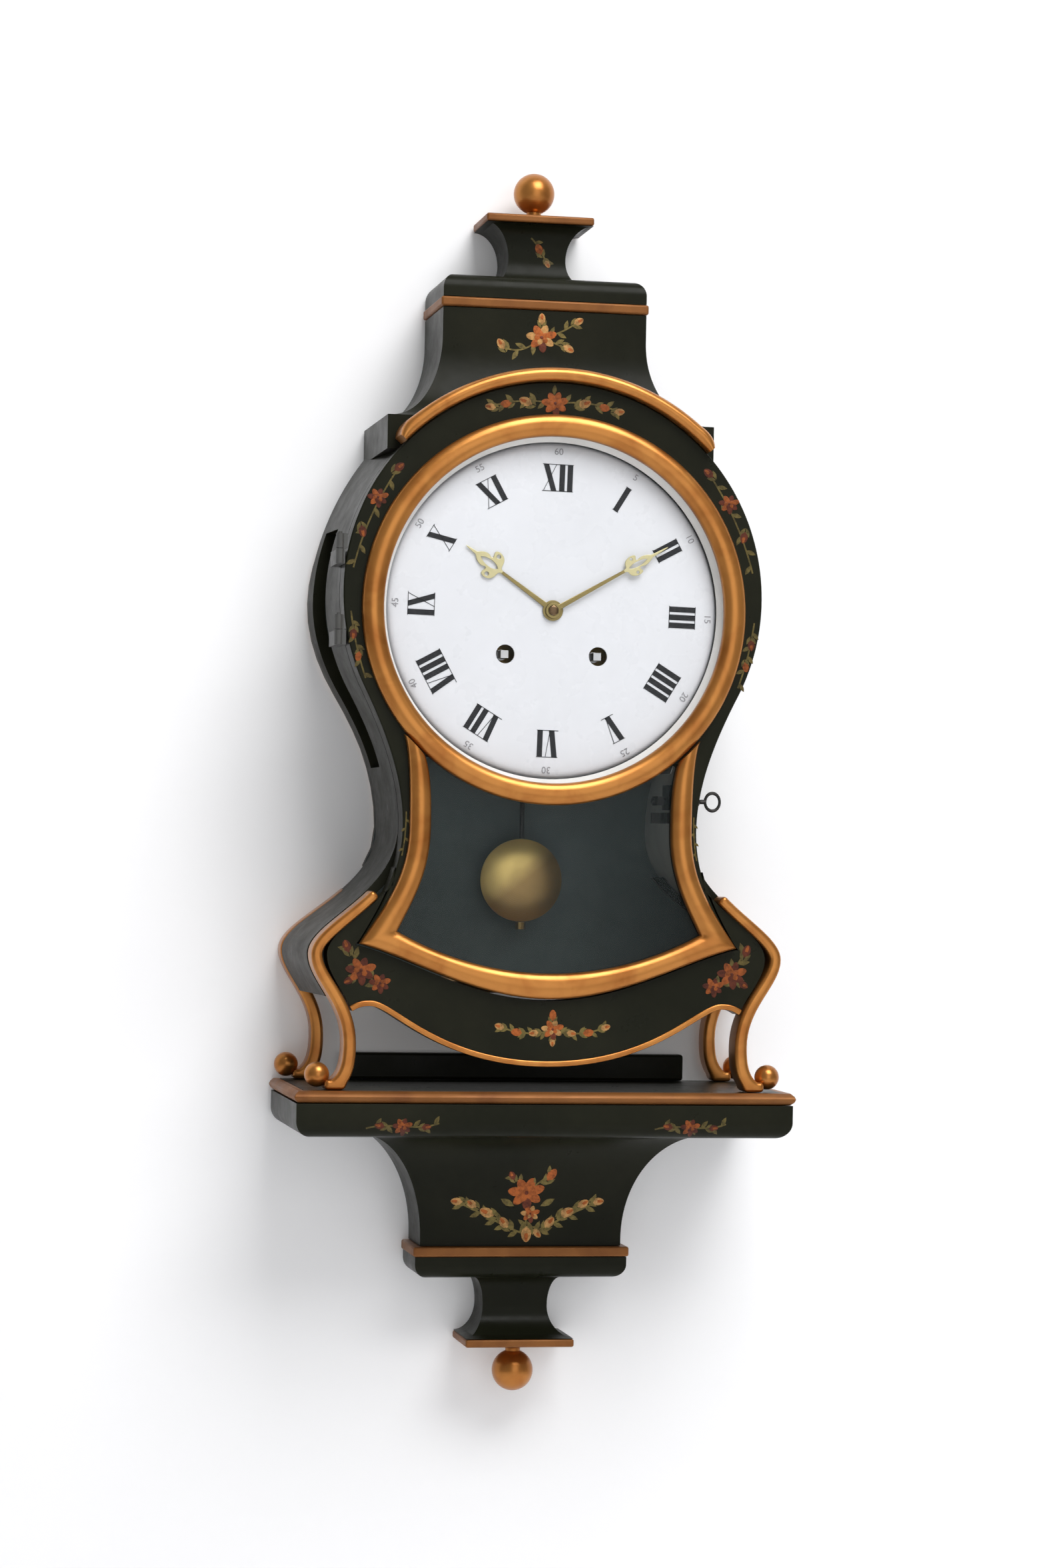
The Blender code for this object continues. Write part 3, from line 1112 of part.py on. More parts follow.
def build_escapement():
    wheel_at = (0.0, ESCAPE_UP)
    y = BACK_PLATE_Y - 0.014
    wheel = gear(ESCAPE_TEETH, ESCAPE_R, 0.5 * CENTRE_R, wheel_at, y, 0.0012, 0.0, 4)
    shaft = rod(wheel_at, 0.8 * CENTRE_R, BACK_PLATE_Y - GAP, FRONT_PLATE_Y + GAP, 12)
    joined(place("escape_wheel", wheel, BRASS, (0, y, DIAL_Z + ESCAPE_UP)), shaft)

    rise = PENDULUM_PIVOT_UP - ESCAPE_UP
    half = [(0.0, rise + 0.0035), (0.0032, rise + 0.0025), (0.0125, 0.010), (0.0120, 0.0055),
            (0.0098, 0.0062), (0.0085, 0.0100), (0.0, rise - 0.0032)]
    outline = mirrored([(x, z + ESCAPE_UP) for x, z in half])
    anchor = place("anchor", sheet([outline], y + 0.001, y - 0.0022), STEEL, (0, y, DIAL_Z + PENDULUM_PIVOT_UP))
    crutch_y = BACK_PLATE_Y + PLATE + 0.0006
    arbor = rod(PIVOT, CENTRE_R, crutch_y + 0.0012, FRONT_PLATE_Y + GAP, 14)
    fork_low = DIAL_Z + PENDULUM_PIVOT_UP - CRUTCH_DROP
    fork_high = fork_low + FORK_HIGH
    crutch_back = crutch_y + CRUTCH_THICK
    arm = block((-CRUTCH_HALF, crutch_y, fork_low),
                (CRUTCH_HALF, crutch_back, DIAL_Z + PENDULUM_PIVOT_UP + SINK))
    bar = block((-FORK_HALF, crutch_y, fork_low), (FORK_HALF, crutch_back, fork_high))
    reach = FORK_HALF - 0.8 * SINK
    prongs = [block((x - PRONG_HALF, crutch_y + 0.4 * SINK, fork_low),
                    (x + PRONG_HALF, PENDULUM_Y + 2 * SINK, fork_high)) for x in (-reach, reach)]
    joined(anchor, arbor, arm, bar, *prongs)


def build_pendulum():
    plate_face = BACK_PLATE_Y + PLATE
    hang = PENDULUM_PIVOT_UP + HANG_UP
    place("back_cock", block((-COCK_HALF, plate_face + GAP, DIAL_Z + hang + GAP),
                             (COCK_HALF, PENDULUM_Y + 4 * SINK, DIAL_Z + hang + COCK_HIGH)), BRASS)
    origin = (0, PENDULUM_Y, DIAL_Z + PENDULUM_PIVOT_UP)
    bob_top = -BOB_DROP + BOB_R + GAP
    rod_top = DIAL_Z + PENDULUM_PIVOT_UP - SPRING_DROP
    rod_low = DIAL_Z + bob_top
    spring = block((-SPRING_HALF, PENDULUM_Y - 0.5 * SPRING_THICK, rod_top - 4 * SINK),
                   (SPRING_HALF, PENDULUM_Y + 0.5 * SPRING_THICK, DIAL_Z + hang))
    shaft = [(0.0, rod_top), (ROD_R, rod_top), (ROD_R, rod_low), (0.0, rod_low)]
    stem = turned(shaft, (0.0, PENDULUM_Y, 0.0), 12, "Z")
    joined(place("pendulum_rod", stem, STEEL, origin), spring)
    steps = 4
    front, rear = [], []
    for k in range(steps + 1):
        r = BOB_R * k / steps
        half = BOB_RIM + BOB_SWELL * (1 - (k / steps) ** 2)
        front.append((r, PENDULUM_Y - half))
        rear.append((r, PENDULUM_Y + half))
    place("pendulum_bob", turned(front + rear[::-1], (0.0, -BOB_DROP), 32), BRASS, origin)
    nut_top = DIAL_Z - BOB_DROP - BOB_R - GAP
    nut_low = nut_top - RATING_NUT_HIGH
    nut = [(0.0, nut_top), (RATING_NUT_R, nut_top), (RATING_NUT_R, nut_low), (0.0, nut_low)]
    place("rating_nut", turned(nut, (0.0, PENDULUM_Y, 0.0), 12, "Z"), BRASS, origin)


def build_strike():
    bell_at = arc(DRUM_CENTRE, DRUM_R - WALL - BELL_R - BELL_ROOM, BELL_TURN, BELL_TURN, 1)[0]
    back = -BACK_THICK - GAP
    shape = ((0.0, 0.0), (0.3, 0.025), (0.7, 0.2), (0.92, 0.6), (1.0, 1.0))     # shares of its radius and depth
    outer = [(r * BELL_R, -BELL_BACK - share * BELL_DEEP) for r, share in shape]
    inner = [(max(r - BELL_WALL, 0.0), y - (BELL_WALL if r < BELL_R else 0.0)) for r, y in outer]
    bell = place("bell", turned(outer + inner[::-1], bell_at, 20), BRASS)
    joined(bell, rod(bell_at, BELL_POST_R, back, -BELL_BACK - 0.5 * SINK, 12))
    head = (bell_at[0] - BELL_R - HAMMER_ROOM, bell_at[1])
    pivot = (head[0], head[1] + HAMMER_LONG)
    arbor = rod(pivot, CENTRE_R, back, -HAMMER_OUT - 2 * HAMMER_ARM, 12)
    hammer = place("hammer", arbor, STEEL, (pivot[0], back, DIAL_Z + pivot[1]))
    arm = block((pivot[0] - HAMMER_ARM, -HAMMER_OUT - HAMMER_ARM, DIAL_Z + head[1]),
                (pivot[0] + HAMMER_ARM, -HAMMER_OUT + HAMMER_ARM, DIAL_Z + pivot[1]))
    ends = -HAMMER_OUT + HAMMER_HEAD_HALF, -HAMMER_OUT - HAMMER_HEAD_HALF
    joined(hammer, arm, rod(head, HAMMER_HEAD_R, *ends, 14))


def main():
    clear_scene()
    build_bracket()
    build_roof()
    build_arch()
    build_sides()
    build_boards()
    build_apron()
    build_legs()
    build_door()
    build_hinges()
    build_lock()
    build_plates()
    build_train()
    build_motion_work()
    build_dial()
    build_hands()
    build_escapement()
    build_pendulum()
    build_strike()


main()
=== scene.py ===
"""Looks of a painted bracket clock and its wall bracket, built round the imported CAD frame."""

import json
import math
from collections import namedtuple

import bmesh
import bpy
from bpy.props import FloatProperty, FloatVectorProperty, PointerProperty
from mathutils import Matrix, Vector
from mathutils.geometry import interpolate_bezier


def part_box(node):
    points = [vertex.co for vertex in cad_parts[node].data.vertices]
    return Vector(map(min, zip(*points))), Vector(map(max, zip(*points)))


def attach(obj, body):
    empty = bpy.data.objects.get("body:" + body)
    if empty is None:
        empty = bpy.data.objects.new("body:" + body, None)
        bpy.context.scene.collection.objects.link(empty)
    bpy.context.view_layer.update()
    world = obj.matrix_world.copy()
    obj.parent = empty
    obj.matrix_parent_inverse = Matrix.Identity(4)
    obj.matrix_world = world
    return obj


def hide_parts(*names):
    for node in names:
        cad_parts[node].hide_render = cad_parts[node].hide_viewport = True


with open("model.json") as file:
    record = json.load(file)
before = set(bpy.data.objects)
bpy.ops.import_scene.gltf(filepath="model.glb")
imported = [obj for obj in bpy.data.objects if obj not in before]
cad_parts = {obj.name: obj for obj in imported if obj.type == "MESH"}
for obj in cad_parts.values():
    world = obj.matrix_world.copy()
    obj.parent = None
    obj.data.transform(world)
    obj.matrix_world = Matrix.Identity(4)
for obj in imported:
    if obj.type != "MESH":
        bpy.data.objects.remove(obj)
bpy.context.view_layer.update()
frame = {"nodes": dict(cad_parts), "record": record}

bl_info = {
    "name": "Painted Bracket Clock",
    "version": (1, 0, 0),
    "blender": (4, 5, 0),
    "location": "3D View > Sidebar > Clock",
    "description": "Dresses a lacquered and gilt bracket clock on its wall bracket",
    "category": "Object",
}


# Sizes read from the frame


def span(node):
    """Half width, depth from the wall, lowest and highest height of a node on the middle line."""
    low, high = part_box(node)
    return high.x, -low.y, low.z, high.z


BEZEL_LOW, BEZEL_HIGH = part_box("dial_bezel")
DIAL_Z = 0.5 * (BEZEL_LOW.z + BEZEL_HIGH.z)
BEZEL_R = BEZEL_HIGH.x
DOOR_LOW, DOOR_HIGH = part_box("door_frame")
FRONT, DOOR_BACK = DOOR_LOW.y, DOOR_HIGH.y
DRUM_R = DOOR_HIGH.x
DRUM_UP = DOOR_HIGH.z - DIAL_Z - DRUM_R
PROUD = FRONT - BEZEL_LOW.y
MM = 0.001
GAP = 0.0003                # room left between pieces that meet
BACK_THICK = -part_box("back_board")[0].y
DRUM_LEAVES = -26.9         # degrees from +X, where the drum runs into the waist
SIDE_TOP = 45.6             # degrees from +X, where the sides end under the roof


def length(label, words, default):
    """A size in metres that a user may change."""
    return FloatProperty(name=label, description=words, default=default, min=0.0, unit="LENGTH",
                         precision=4)


def colour(label, words, default):
    """A linear colour that a user may change."""
    return FloatVectorProperty(name=label, description=words, default=default, size=3, min=0.0, max=1.0,
                               subtype="COLOR")


class ClockSizes(bpy.types.PropertyGroup):
    """Sizes of the case, the door, the dial and the bracket."""

    waist_half: length("Waist", "Half width of the case at the waist", 0.082)
    waist_drop: length("Waist drop", "Waist below the dial's centre", 0.120)
    hip_half: length("Hip", "Half width of the case at the hip", 0.131)
    hip_drop: length("Hip drop", "Hip below the dial's centre", 0.190)
    ankle_half: length("Ankle", "Half width over the ankles", 0.1125)
    ankle_drop: length("Ankle drop", "Ankles below the dial's centre", 0.238)
    wall: length("Wall", "Thickness of the case's sides", 0.007)
    drum_swell: length("Drum swelling", "How much wider each side of the drum is at the wall", 0.006)
    eaves_swell: length("Eaves swelling", "The same on the outside of the sides, under the eaves", 0.0085)
    heel_swell: length("Heel swelling", "The same at the hip and the back legs", 0.005)
    swell_front: length("Swelling front", "Where the sides begin to swell, from the wall", 0.075)
    swell_drop: length("Swelling foot", "Where the drum's swelling ends, below the dial's centre", 0.085)
    swell_heel: length("Heel start", "Where the hip's swelling begins, below the dial's centre", 0.135)
    dial_opening: length("Dial opening", "Radius of the opening in the bezel", 0.095)
    window_half: length("Window", "Half width of the window at its waist", 0.067)
    moulding_wide: length("Moulding", "Width of the window's moulding", 0.0115)
    corner_half: length("Window corner", "Half width of the window at its lower corners", 0.0845)
    corner_drop: length("Corner drop", "The window's lower corners below the dial's centre", 0.177)
    tip_half: length("Moulding tip", "Half width over the moulding's pointed tips", 0.105)
    tip_drop: length("Tip drop", "The moulding's tips below the dial's centre", 0.184)
    window_foot: length("Window foot", "Lowest point of the window below the dial's centre", 0.199)
    door_foot: length("Door foot", "Lowest point of the door below the dial's centre", 0.213)
    arch_reach: length("Arch reach", "Half width of the hood where its ends turn down", 0.0800)
    eaves_drop: length("Eaves", "How far the eaves hang below the roof's spread", 0.019)
    tower_half: length("Tower", "Half width of the roof's straight tower", 0.058)
    tower_deep: length("Tower depth", "Depth of the roof's straight tower", 0.062)
    tower_straight: length("Tower height", "Height of the roof's straight tower", 0.016)
    crown_high: length("Crown block", "Height of the block over the gilt line", 0.013)
    crown_in: length("Crown round", "How far the crown block's top draws in", 0.007)
    neck_half: length("Crown neck", "Half width of the crown's neck", 0.0165)
    neck_deep: length("Crown neck depth", "Depth of the crown's neck", 0.034)
    neck_flare: length("Neck flare", "Spread of the neck at its foot", 0.0085)
    slot_back: length("Slot back", "Rear edge of the sound slots from the wall", 0.017)
    slot_front: length("Slot front", "Front edge of the sound slots from the wall", 0.049)
    slot_up: length("Slot top", "Top of the sound slots above the dial's centre", 0.045)
    slot_drop: length("Slot foot", "Foot of the sound slots below the dial's centre", 0.087)
    leg_top: length("Leg top", "Top of the scroll legs below the dial's centre", 0.152)
    leg_thin: length("Leg top width", "Width of the scroll legs at their top", 0.0055)
    leg_wide: length("Leg width", "Width of the scroll legs at the ankle", 0.0076)
    leg_deep: length("Leg depth", "Depth of a scroll leg", 0.014)
    toe_half: length("Toe", "Half width over the toes", 0.119)
    toe_ball: length("Toe ball", "Radius of the ball on each toe", 0.0068)
    hump_half: length("Apron hump", "Half width between the apron's humps", 0.098)
    side_drop: length("Side foot", "Lower end of the sides below the dial's centre", 0.2145)
    hump_drop: length("Hump drop", "The apron's humps below the dial's centre", 0.2178)
    hump_curl: length("Hump curl", "How far the apron falls again from its humps to the legs", 0.0035)
    apron_foot: length("Apron foot", "Lowest point of the apron below the dial's centre", 0.2500)
    shelf_round: length("Shelf round", "Radius of the shelf's lower edge", 0.009)
    cavetto_half: length("Bracket foot", "Half width of the bracket where its hollow ends", 0.0575)
    cavetto_deep: length("Bracket foot depth", "Depth of the bracket where its hollow ends", 0.040)
    pendant_half: length("Pendant neck", "Half width of the pendant's neck", 0.0185)
    pendant_deep: length("Pendant neck depth", "Depth of the pendant's neck", 0.026)
    numeral_r: length("Numeral radius", "Radius of the middle of the hour numerals", 0.0732)
    numeral_high: length("Numeral height", "Height of the hour numerals", 0.0150)
    numeral_turn: FloatProperty(name="Numeral turn", description="How far the numerals are turned clockwise",
                                default=math.radians(1.3), subtype="ANGLE")


class ClockColours(bpy.types.PropertyGroup):
    """Colours of the clock's finishes, linear."""

    lacquer: colour("Lacquer", "Black-green lacquer of the case", (0.0092, 0.0098, 0.0054))
    lacquer_worn: colour("Worn lacquer", "Lacquer where it has faded", (0.0165, 0.0165, 0.0095))
    gilt: colour("Gilt", "Gilding of the mouldings and legs", (0.45, 0.185, 0.042))
    gilt_rubbed: colour("Rubbed gilt", "Gilding where the ground shows through", (0.285, 0.090, 0.015))
    line: colour("Gilt line", "Bronze paint of the flat lines", (0.215, 0.084, 0.022))
    line_rubbed: colour("Rubbed line", "Bronze paint where it has worn", (0.140, 0.048, 0.013))
    enamel: colour("Enamel", "Cool white enamel of the dial", (0.77, 0.785, 0.82))
    ink: colour("Ink", "Black of the numerals", (0.026, 0.026, 0.029))
    brass: colour("Brass", "Brass of the pendulum and the movement", (0.46, 0.31, 0.105))
    # The bob's two colours are painted light: the pale one is a painted highlight at its upper left, the
    # darker one is painted shade at its lower right.
    bob: colour("Bob", "Lacquered brass of the pendulum's bob", (1.0, 0.76, 0.26))
    bob_brown: colour("Bob in painted shade", "Brass of the bob in painted shade towards its lower right", (0.36, 0.235, 0.085))
    hands: colour("Hands", "Brown gilt of the hands' stems", (0.30, 0.235, 0.09))
    hands_pale: colour("Hand leaves", "Pale gilt of the hands' leaves", (0.64, 0.58, 0.32))
    nut: colour("Hand nut", "Brown bronze of the hands' nut", (0.16, 0.10, 0.05))
    steel: colour("Steel", "Bright steel of the winding squares", (0.55, 0.56, 0.57))
    hinge: colour("Hinges", "Dull grey metal of the hinges", (0.070, 0.070, 0.066))
    slip: colour("Slip", "Silvered ring between the bezel and the dial", (0.86, 0.85, 0.82))
    inside: colour("Inside", "Grey-green paint on the back board", (0.085, 0.118, 0.118))
    inside_pale: colour("Inside of the sides", "Pale grey paint inside the sides", (0.38, 0.42, 0.42))
    iron: colour("Iron", "Dark iron of the key and the steel parts", (0.055, 0.052, 0.05))
    pine: colour("Pine", "Bare wood inside the case", (0.38, 0.24, 0.12))
    glass: colour("Glass", "Veil on the panes", (0.026, 0.040, 0.042))
    coral: colour("Coral", "Orange-red of the painted blossoms", (0.47, 0.120, 0.022))
    cream: colour("Cream", "Pale orange of the painted blossoms", (0.56, 0.300, 0.100))
    crimson: colour("Crimson", "Deep red of the painted blossoms", (0.165, 0.036, 0.014))
    leaf: colour("Leaf", "Yellow-green of the painted leaves", (0.200, 0.150, 0.040))
    backdrop: colour("Backdrop", "White of the wall and the floor", (0.87, 0.87, 0.88))


class ClockSettings(bpy.types.PropertyGroup):
    """All settings of the clock."""

    sizes: PointerProperty(type=ClockSizes)
    colours: PointerProperty(type=ClockColours)


def sizes():
    return bpy.context.scene.bracket_clock.sizes


def colours():
    return bpy.context.scene.bracket_clock.colours


# Curves, as (x, z) from the dial's centre, with handles as shares of their way or in metres


def bezier(a, b, c, d, count):
    """Points after a on a curve from a to d with handles b and c."""
    ends = [Vector((x, z)) for x, z in (a, b, c, d)]
    return [tuple(point) for point in interpolate_bezier(*ends, count + 1)][1:]


def arc(centre, radius, start_deg, end_deg, count):
    """Points on a circle, angles in degrees from +X towards +Z."""
    angles = [math.radians(start_deg + (end_deg - start_deg) * k / count) for k in range(count + 1)]
    return [(centre[0] + radius * math.cos(a), centre[1] + radius * math.sin(a)) for a in angles]


def mirrored(half):
    """A closed outline from its right half, given from the top middle to the bottom middle."""
    return half + [(-x, z) for x, z in reversed(half) if abs(x) > 1e-6]


def both_sides(path):
    """A path carried on past the middle line as its own mirror image."""
    return path + [(-x, z) for x, z in path[-2::-1]]


def drum_to_waist(top_deg, inset):
    """Right edge of the drum from an angle down to the waist, drawn in by inset."""
    s = sizes()
    points = arc((0.0, DRUM_UP), DRUM_R - inset, top_deg, DRUM_LEAVES, 60)
    start = points[-1]
    along = math.sin(math.radians(DRUM_LEAVES)), -math.cos(math.radians(DRUM_LEAVES))
    waist = (s.waist_half - inset, -s.waist_drop)
    ease = 0.35 * (s.waist_drop + start[1])
    return points + bezier(start, (start[0] + ease * along[0], start[1] + ease * along[1]),
                           (waist[0], waist[1] + ease), waist, 20)


def waist_to_ankle(inset):
    """Right edge of the case from the waist over the hip to the ankle, drawn in by inset."""
    s = sizes()
    waist = (s.waist_half - inset, -s.waist_drop)
    hip = (s.hip_half - inset, -s.hip_drop)
    ankle = (s.ankle_half - inset, -s.ankle_drop)
    drop, calf = s.hip_drop - s.waist_drop, s.ankle_drop - s.hip_drop
    points = bezier(waist, (waist[0], waist[1] - 0.54 * drop), (hip[0], hip[1] + 0.26 * drop), hip, 26)
    return points + bezier(hip, (hip[0], hip[1] - 0.3 * calf), (ankle[0], ankle[1] + 0.46 * calf), ankle, 20)


def window_side(inner):
    """Right edge of the window's moulding from the bezel down to its lower corner."""
    s = sizes()
    half = s.window_half + (0.0 if inner else s.moulding_wide)
    corner = (s.corner_half, -s.corner_drop) if inner else (s.tip_half, -s.tip_drop)
    flare = 0.004
    reach = BEZEL_R + 4 * GAP
    top = (half + flare, -math.sqrt(reach ** 2 - (half + flare) ** 2))
    waist = (half, -s.waist_drop)
    drop = corner[1] - waist[1]
    points = [top] + bezier(top, (top[0] - flare, top[1] - 0.01), (waist[0], waist[1] + 0.012), waist, 12)
    return points + bezier(waist, (waist[0], waist[1] + 0.45 * drop),
                           (corner[0] - 0.45 * (corner[0] - waist[0]), corner[1] - 0.28 * drop), corner, 24)


def window_foot(inner):
    """Lower edge of the window's moulding from its right corner to the middle."""
    s = sizes()
    corner = (s.corner_half, -s.corner_drop) if inner else (s.tip_half, -s.tip_drop)
    foot = -s.window_foot if inner else -s.door_foot
    sag = foot - corner[1]
    return bezier(corner, (0.74 * corner[0], corner[1] + (0.55 if inner else 0.22) * sag),
                  (0.40 * corner[0], foot), (0.0, foot), 24)


def door_side():
    """Right edge of the door from the top middle down to the moulding's tip."""
    s = sizes()
    waist, tip = (s.waist_half, -s.waist_drop), (s.tip_half, -s.tip_drop)
    drop = tip[1] - waist[1]
    return drum_to_waist(90, 0.0) + bezier(
        waist, (waist[0], waist[1] + 0.42 * drop),
        (tip[0] - 0.43 * (tip[0] - waist[0]), tip[1] - 0.26 * drop), tip, 24)


def apron_scallop(inset):
    """Lower edge of the apron from its right shoulder to the middle."""
    s = sizes()
    hump, foot = (s.hump_half, -s.hump_drop), (0.0, -s.apron_foot)
    shoulder = [p for p in waist_to_ankle(inset) if p[1] > hump[1] - s.hump_curl][-1]
    points = [shoulder] + bezier(shoulder, (shoulder[0] - 0.003, hump[1] - 0.001),
                                 (hump[0] + 0.005, hump[1]), hump, 8)
    return points + bezier(hump, (hump[0] - 0.012, hump[1]), (0.62 * hump[0], foot[1]), foot, 30)


def apron_half():
    """Right half of the apron's outline from the top middle round to the bottom middle."""
    s = sizes()
    room, inset = 0.001, s.leg_wide + 4 * GAP
    top = [(x, z - room) for x, z in ([(s.tip_half, -s.tip_drop)] + window_foot(False))[::-1]]
    edge = [(s.tip_half + 2 * room, -s.tip_drop - room)]
    edge += [(x + room, z - 0.3 * room) for x, z in door_side()[-2::-1] if z < -s.waist_drop - 0.02]
    outer = [p for p in waist_to_ankle(inset)
             if -s.hump_drop - s.hump_curl < p[1] < edge[-1][1] - 0.002 and p[0] > edge[-1][0]]
    return top + edge + outer + apron_scallop(inset)[1:]


def hollow(foot, head, count=24):
    """(height, half, depth) levels of a hollow quarter round, upright at the foot, spread at the head."""
    levels = []
    for k in range(count + 1):
        turn = 0.5 * math.pi * k / count
        share = (math.sin(turn), 1 - math.cos(turn), 1 - math.cos(turn))
        levels.append(tuple(a + (b - a) * t for a, b, t in zip(foot, head, share)))
    return levels


def swelling(start, z_end, inset, count=12):
    """Levels of a swelling quarter round, upright at the start, drawn in by inset at its end."""
    z, half, deep = start
    levels = []
    for k in range(count + 1):
        turn = 0.5 * math.pi * k / count
        drawn = inset * (1 - math.cos(turn))
        levels.append((z + (z_end - z) * math.sin(turn), half - drawn, deep - drawn))
    return levels


# Modelling

MERGE = 1e-6                # corners nearer than this are one


def smooth(share):
    """A share from 0 to 1 with a soft start and end."""
    return share * share * (3 - 2 * share)


def swell(z):
    """How much further out each side of the case is at the wall, at a height from the dial's centre."""
    s = sizes()
    if z > -s.swell_drop:
        top = DRUM_UP + DRUM_R * math.sin(math.radians(SIDE_TOP))
        return s.drum_swell * (1 - smooth(min(1.0, abs(z) / (top if z > 0 else s.swell_drop))))
    return s.heel_swell * smooth(min(1.0, max(0.0, (-z - s.swell_heel) / (s.hip_drop - s.swell_heel))))


def swelled(bm, at_wall=False):
    """Swell a piece of the case outwards from its front to the wall, or by the whole amount."""
    s = sizes()
    if not at_wall:
        bmesh.ops.bisect_plane(bm, geom=bm.verts[:] + bm.edges[:] + bm.faces[:], dist=1e-7,
                               plane_co=(0, -s.swell_front, 0), plane_no=(0, 1, 0))
    top = DRUM_R * math.sin(math.radians(SIDE_TOP))
    for vert in bm.verts:
        near = min(1.0, max(0.0, (s.swell_front + vert.co.y) / (s.swell_front - BACK_THICK)))
        z = vert.co.z - DIAL_Z
        more = swell(z)
        if z > DRUM_UP and math.hypot(vert.co.x, z - DRUM_UP) > DRUM_R - 0.5 * s.wall:
            more += s.eaves_swell * min(1.0, (z - DRUM_UP) / top) ** 2
        vert.co.x += math.copysign(more, vert.co.x) * (1.0 if at_wall else near)
    return bm


def ring_of(bm, places, closed=True):
    """Edges through a row of places, joined at its ends if closed."""
    corners = [bm.verts.new(place) for place in places]
    return [bm.edges.new(pair) for pair in zip(corners, corners[1:] + (corners[:1] if closed else []))]


def kept(kind, geom):
    """The vertices or the edges in what an operator gives back."""
    return [each for each in geom if isinstance(each, kind)]


def board(loops, y_back, y_front):
    """A flat board between two depths, its first (x, z) loop the edge and the rest holes."""
    bm = bmesh.new()
    edges = [edge for loop in loops for edge in ring_of(bm, [(x, y_back, DIAL_Z + z) for x, z in loop])]
    bmesh.ops.triangle_fill(bm, use_beauty=True, use_dissolve=False, edges=edges)
    grown = bmesh.ops.extrude_face_region(bm, geom=bm.faces[:])["geom"]
    bmesh.ops.translate(bm, verts=kept(bmesh.types.BMVert, grown), vec=(0, y_front - y_back, 0))
    return bm


def stack(levels):
    """A moulding with three worked sides and a flat back on the wall, from (height, half, depth) levels."""
    bm = bmesh.new()
    z, half, deep = levels[0]
    base = bmesh.ops.create_grid(bm, x_segments=1, y_segments=1, size=1.0)["verts"]
    bmesh.ops.translate(bm, verts=base, vec=(0, -1, 0))
    bmesh.ops.scale(bm, verts=base, vec=(half, 0.5 * deep, 1))
    bmesh.ops.translate(bm, verts=base, vec=(0, 0, z))
    ring = bm.edges[:]
    for low, high in zip(levels, levels[1:]):
        grown = bmesh.ops.extrude_edge_only(bm, edges=ring)["geom"]
        ring, moved = kept(bmesh.types.BMEdge, grown), kept(bmesh.types.BMVert, grown)
        bmesh.ops.scale(bm, verts=moved, vec=(high[1] / low[1], high[2] / low[2], 1))
        bmesh.ops.translate(bm, verts=moved, vec=(0, 0, high[0] - low[0]))
    bmesh.ops.edgeloop_fill(bm, edges=ring)
    return bm


def turned(profile, centre, axis, steps=96):
    """A piece turned once round an axis from (radius, place along the axis) points."""
    bm = bmesh.new()
    along, out = Vector((0, 0, 1)), Vector((1, 0, 0))
    if axis == "Y":
        along, out = Vector((0, 1, 0)), Vector((0, 0, 1))
    tube = min(profile[0][0], profile[-1][0]) > MERGE
    edges = ring_of(bm, [Vector(centre) + along * place + out * radius for radius, place in profile], tube)
    bmesh.ops.spin(bm, geom=bm.verts[:] + edges, cent=centre, axis=along, angle=math.tau, steps=steps,
                   use_merge=True, use_duplicate=False)
    return bm


def swept(inner, outer, section, y_seat, proud):
    """A moulding carried along two (x, z) edges, its section given as (share across, share proud)."""
    bm = bmesh.new()
    stations = []
    for (ax, az), (bx, bz) in zip(inner, outer):
        across, rise = Vector((bx - ax, 0, bz - az)), Vector((0, -proud, 0))
        stations.append(Matrix((across, rise, across.cross(rise))).transposed().to_4x4())
        stations[-1].translation = (ax, y_seat, DIAL_Z + az)
    first = ring = ring_of(bm, [stations[0] @ Vector((u, v, 0)) for u, v in section])
    for here, there in zip(stations, stations[1:]):
        grown = bmesh.ops.extrude_edge_only(bm, edges=ring)["geom"]
        ring = kept(bmesh.types.BMEdge, grown)
        bmesh.ops.transform(bm, matrix=there @ here.inverted(), verts=kept(bmesh.types.BMVert, grown))
    for end in (first, ring):
        bmesh.ops.edgeloop_fill(bm, edges=end)
    return bm


def half_round(count=10, shoulder=0.4):
    """Section of a moulding: upright shoulders under a rounded crown."""
    turns = [math.pi * k / count for k in range(count + 1)]
    crown = [(0.5 * (1 - math.cos(turn)), shoulder + (1 - shoulder) * math.sin(turn)) for turn in turns]
    return [(0.0, 0.0)] + crown + [(1.0, 0.0)]


def added(bm, other):
    """Bring another bmesh's shape into this one."""
    scrap = bpy.data.meshes.new("scrap")
    other.to_mesh(scrap)
    other.free()
    bm.from_mesh(scrap)
    bpy.data.meshes.remove(scrap)
    return bm


def block(low, high):
    """A plain box between two corners."""
    bm = bmesh.new()
    bmesh.ops.create_cube(bm, size=1.0)
    bmesh.ops.scale(bm, verts=bm.verts, vec=[b - a for a, b in zip(low, high)])
    bmesh.ops.translate(bm, verts=bm.verts, vec=[0.5 * (a + b) for a, b in zip(low, high)])
    return bm


def rotated(bm, degrees, axis, centre=(0, 0, 0)):
    bmesh.ops.rotate(bm, verts=bm.verts, cent=centre, matrix=Matrix.Rotation(math.radians(degrees), 3, axis))
    return bm


def linked(name, shape, finishes=()):
    """A new object in the scene from a bmesh, a lamp or a camera, with its finishes."""
    if isinstance(shape, bmesh.types.BMesh):
        mesh = bpy.data.meshes.new(name)
        shape.to_mesh(mesh)
        shape.free()
        shape = mesh
    for finish in finishes:
        shape.materials.append(finish)
    piece = bpy.data.objects.new(name, shape)
    bpy.context.scene.collection.objects.link(piece)
    return piece


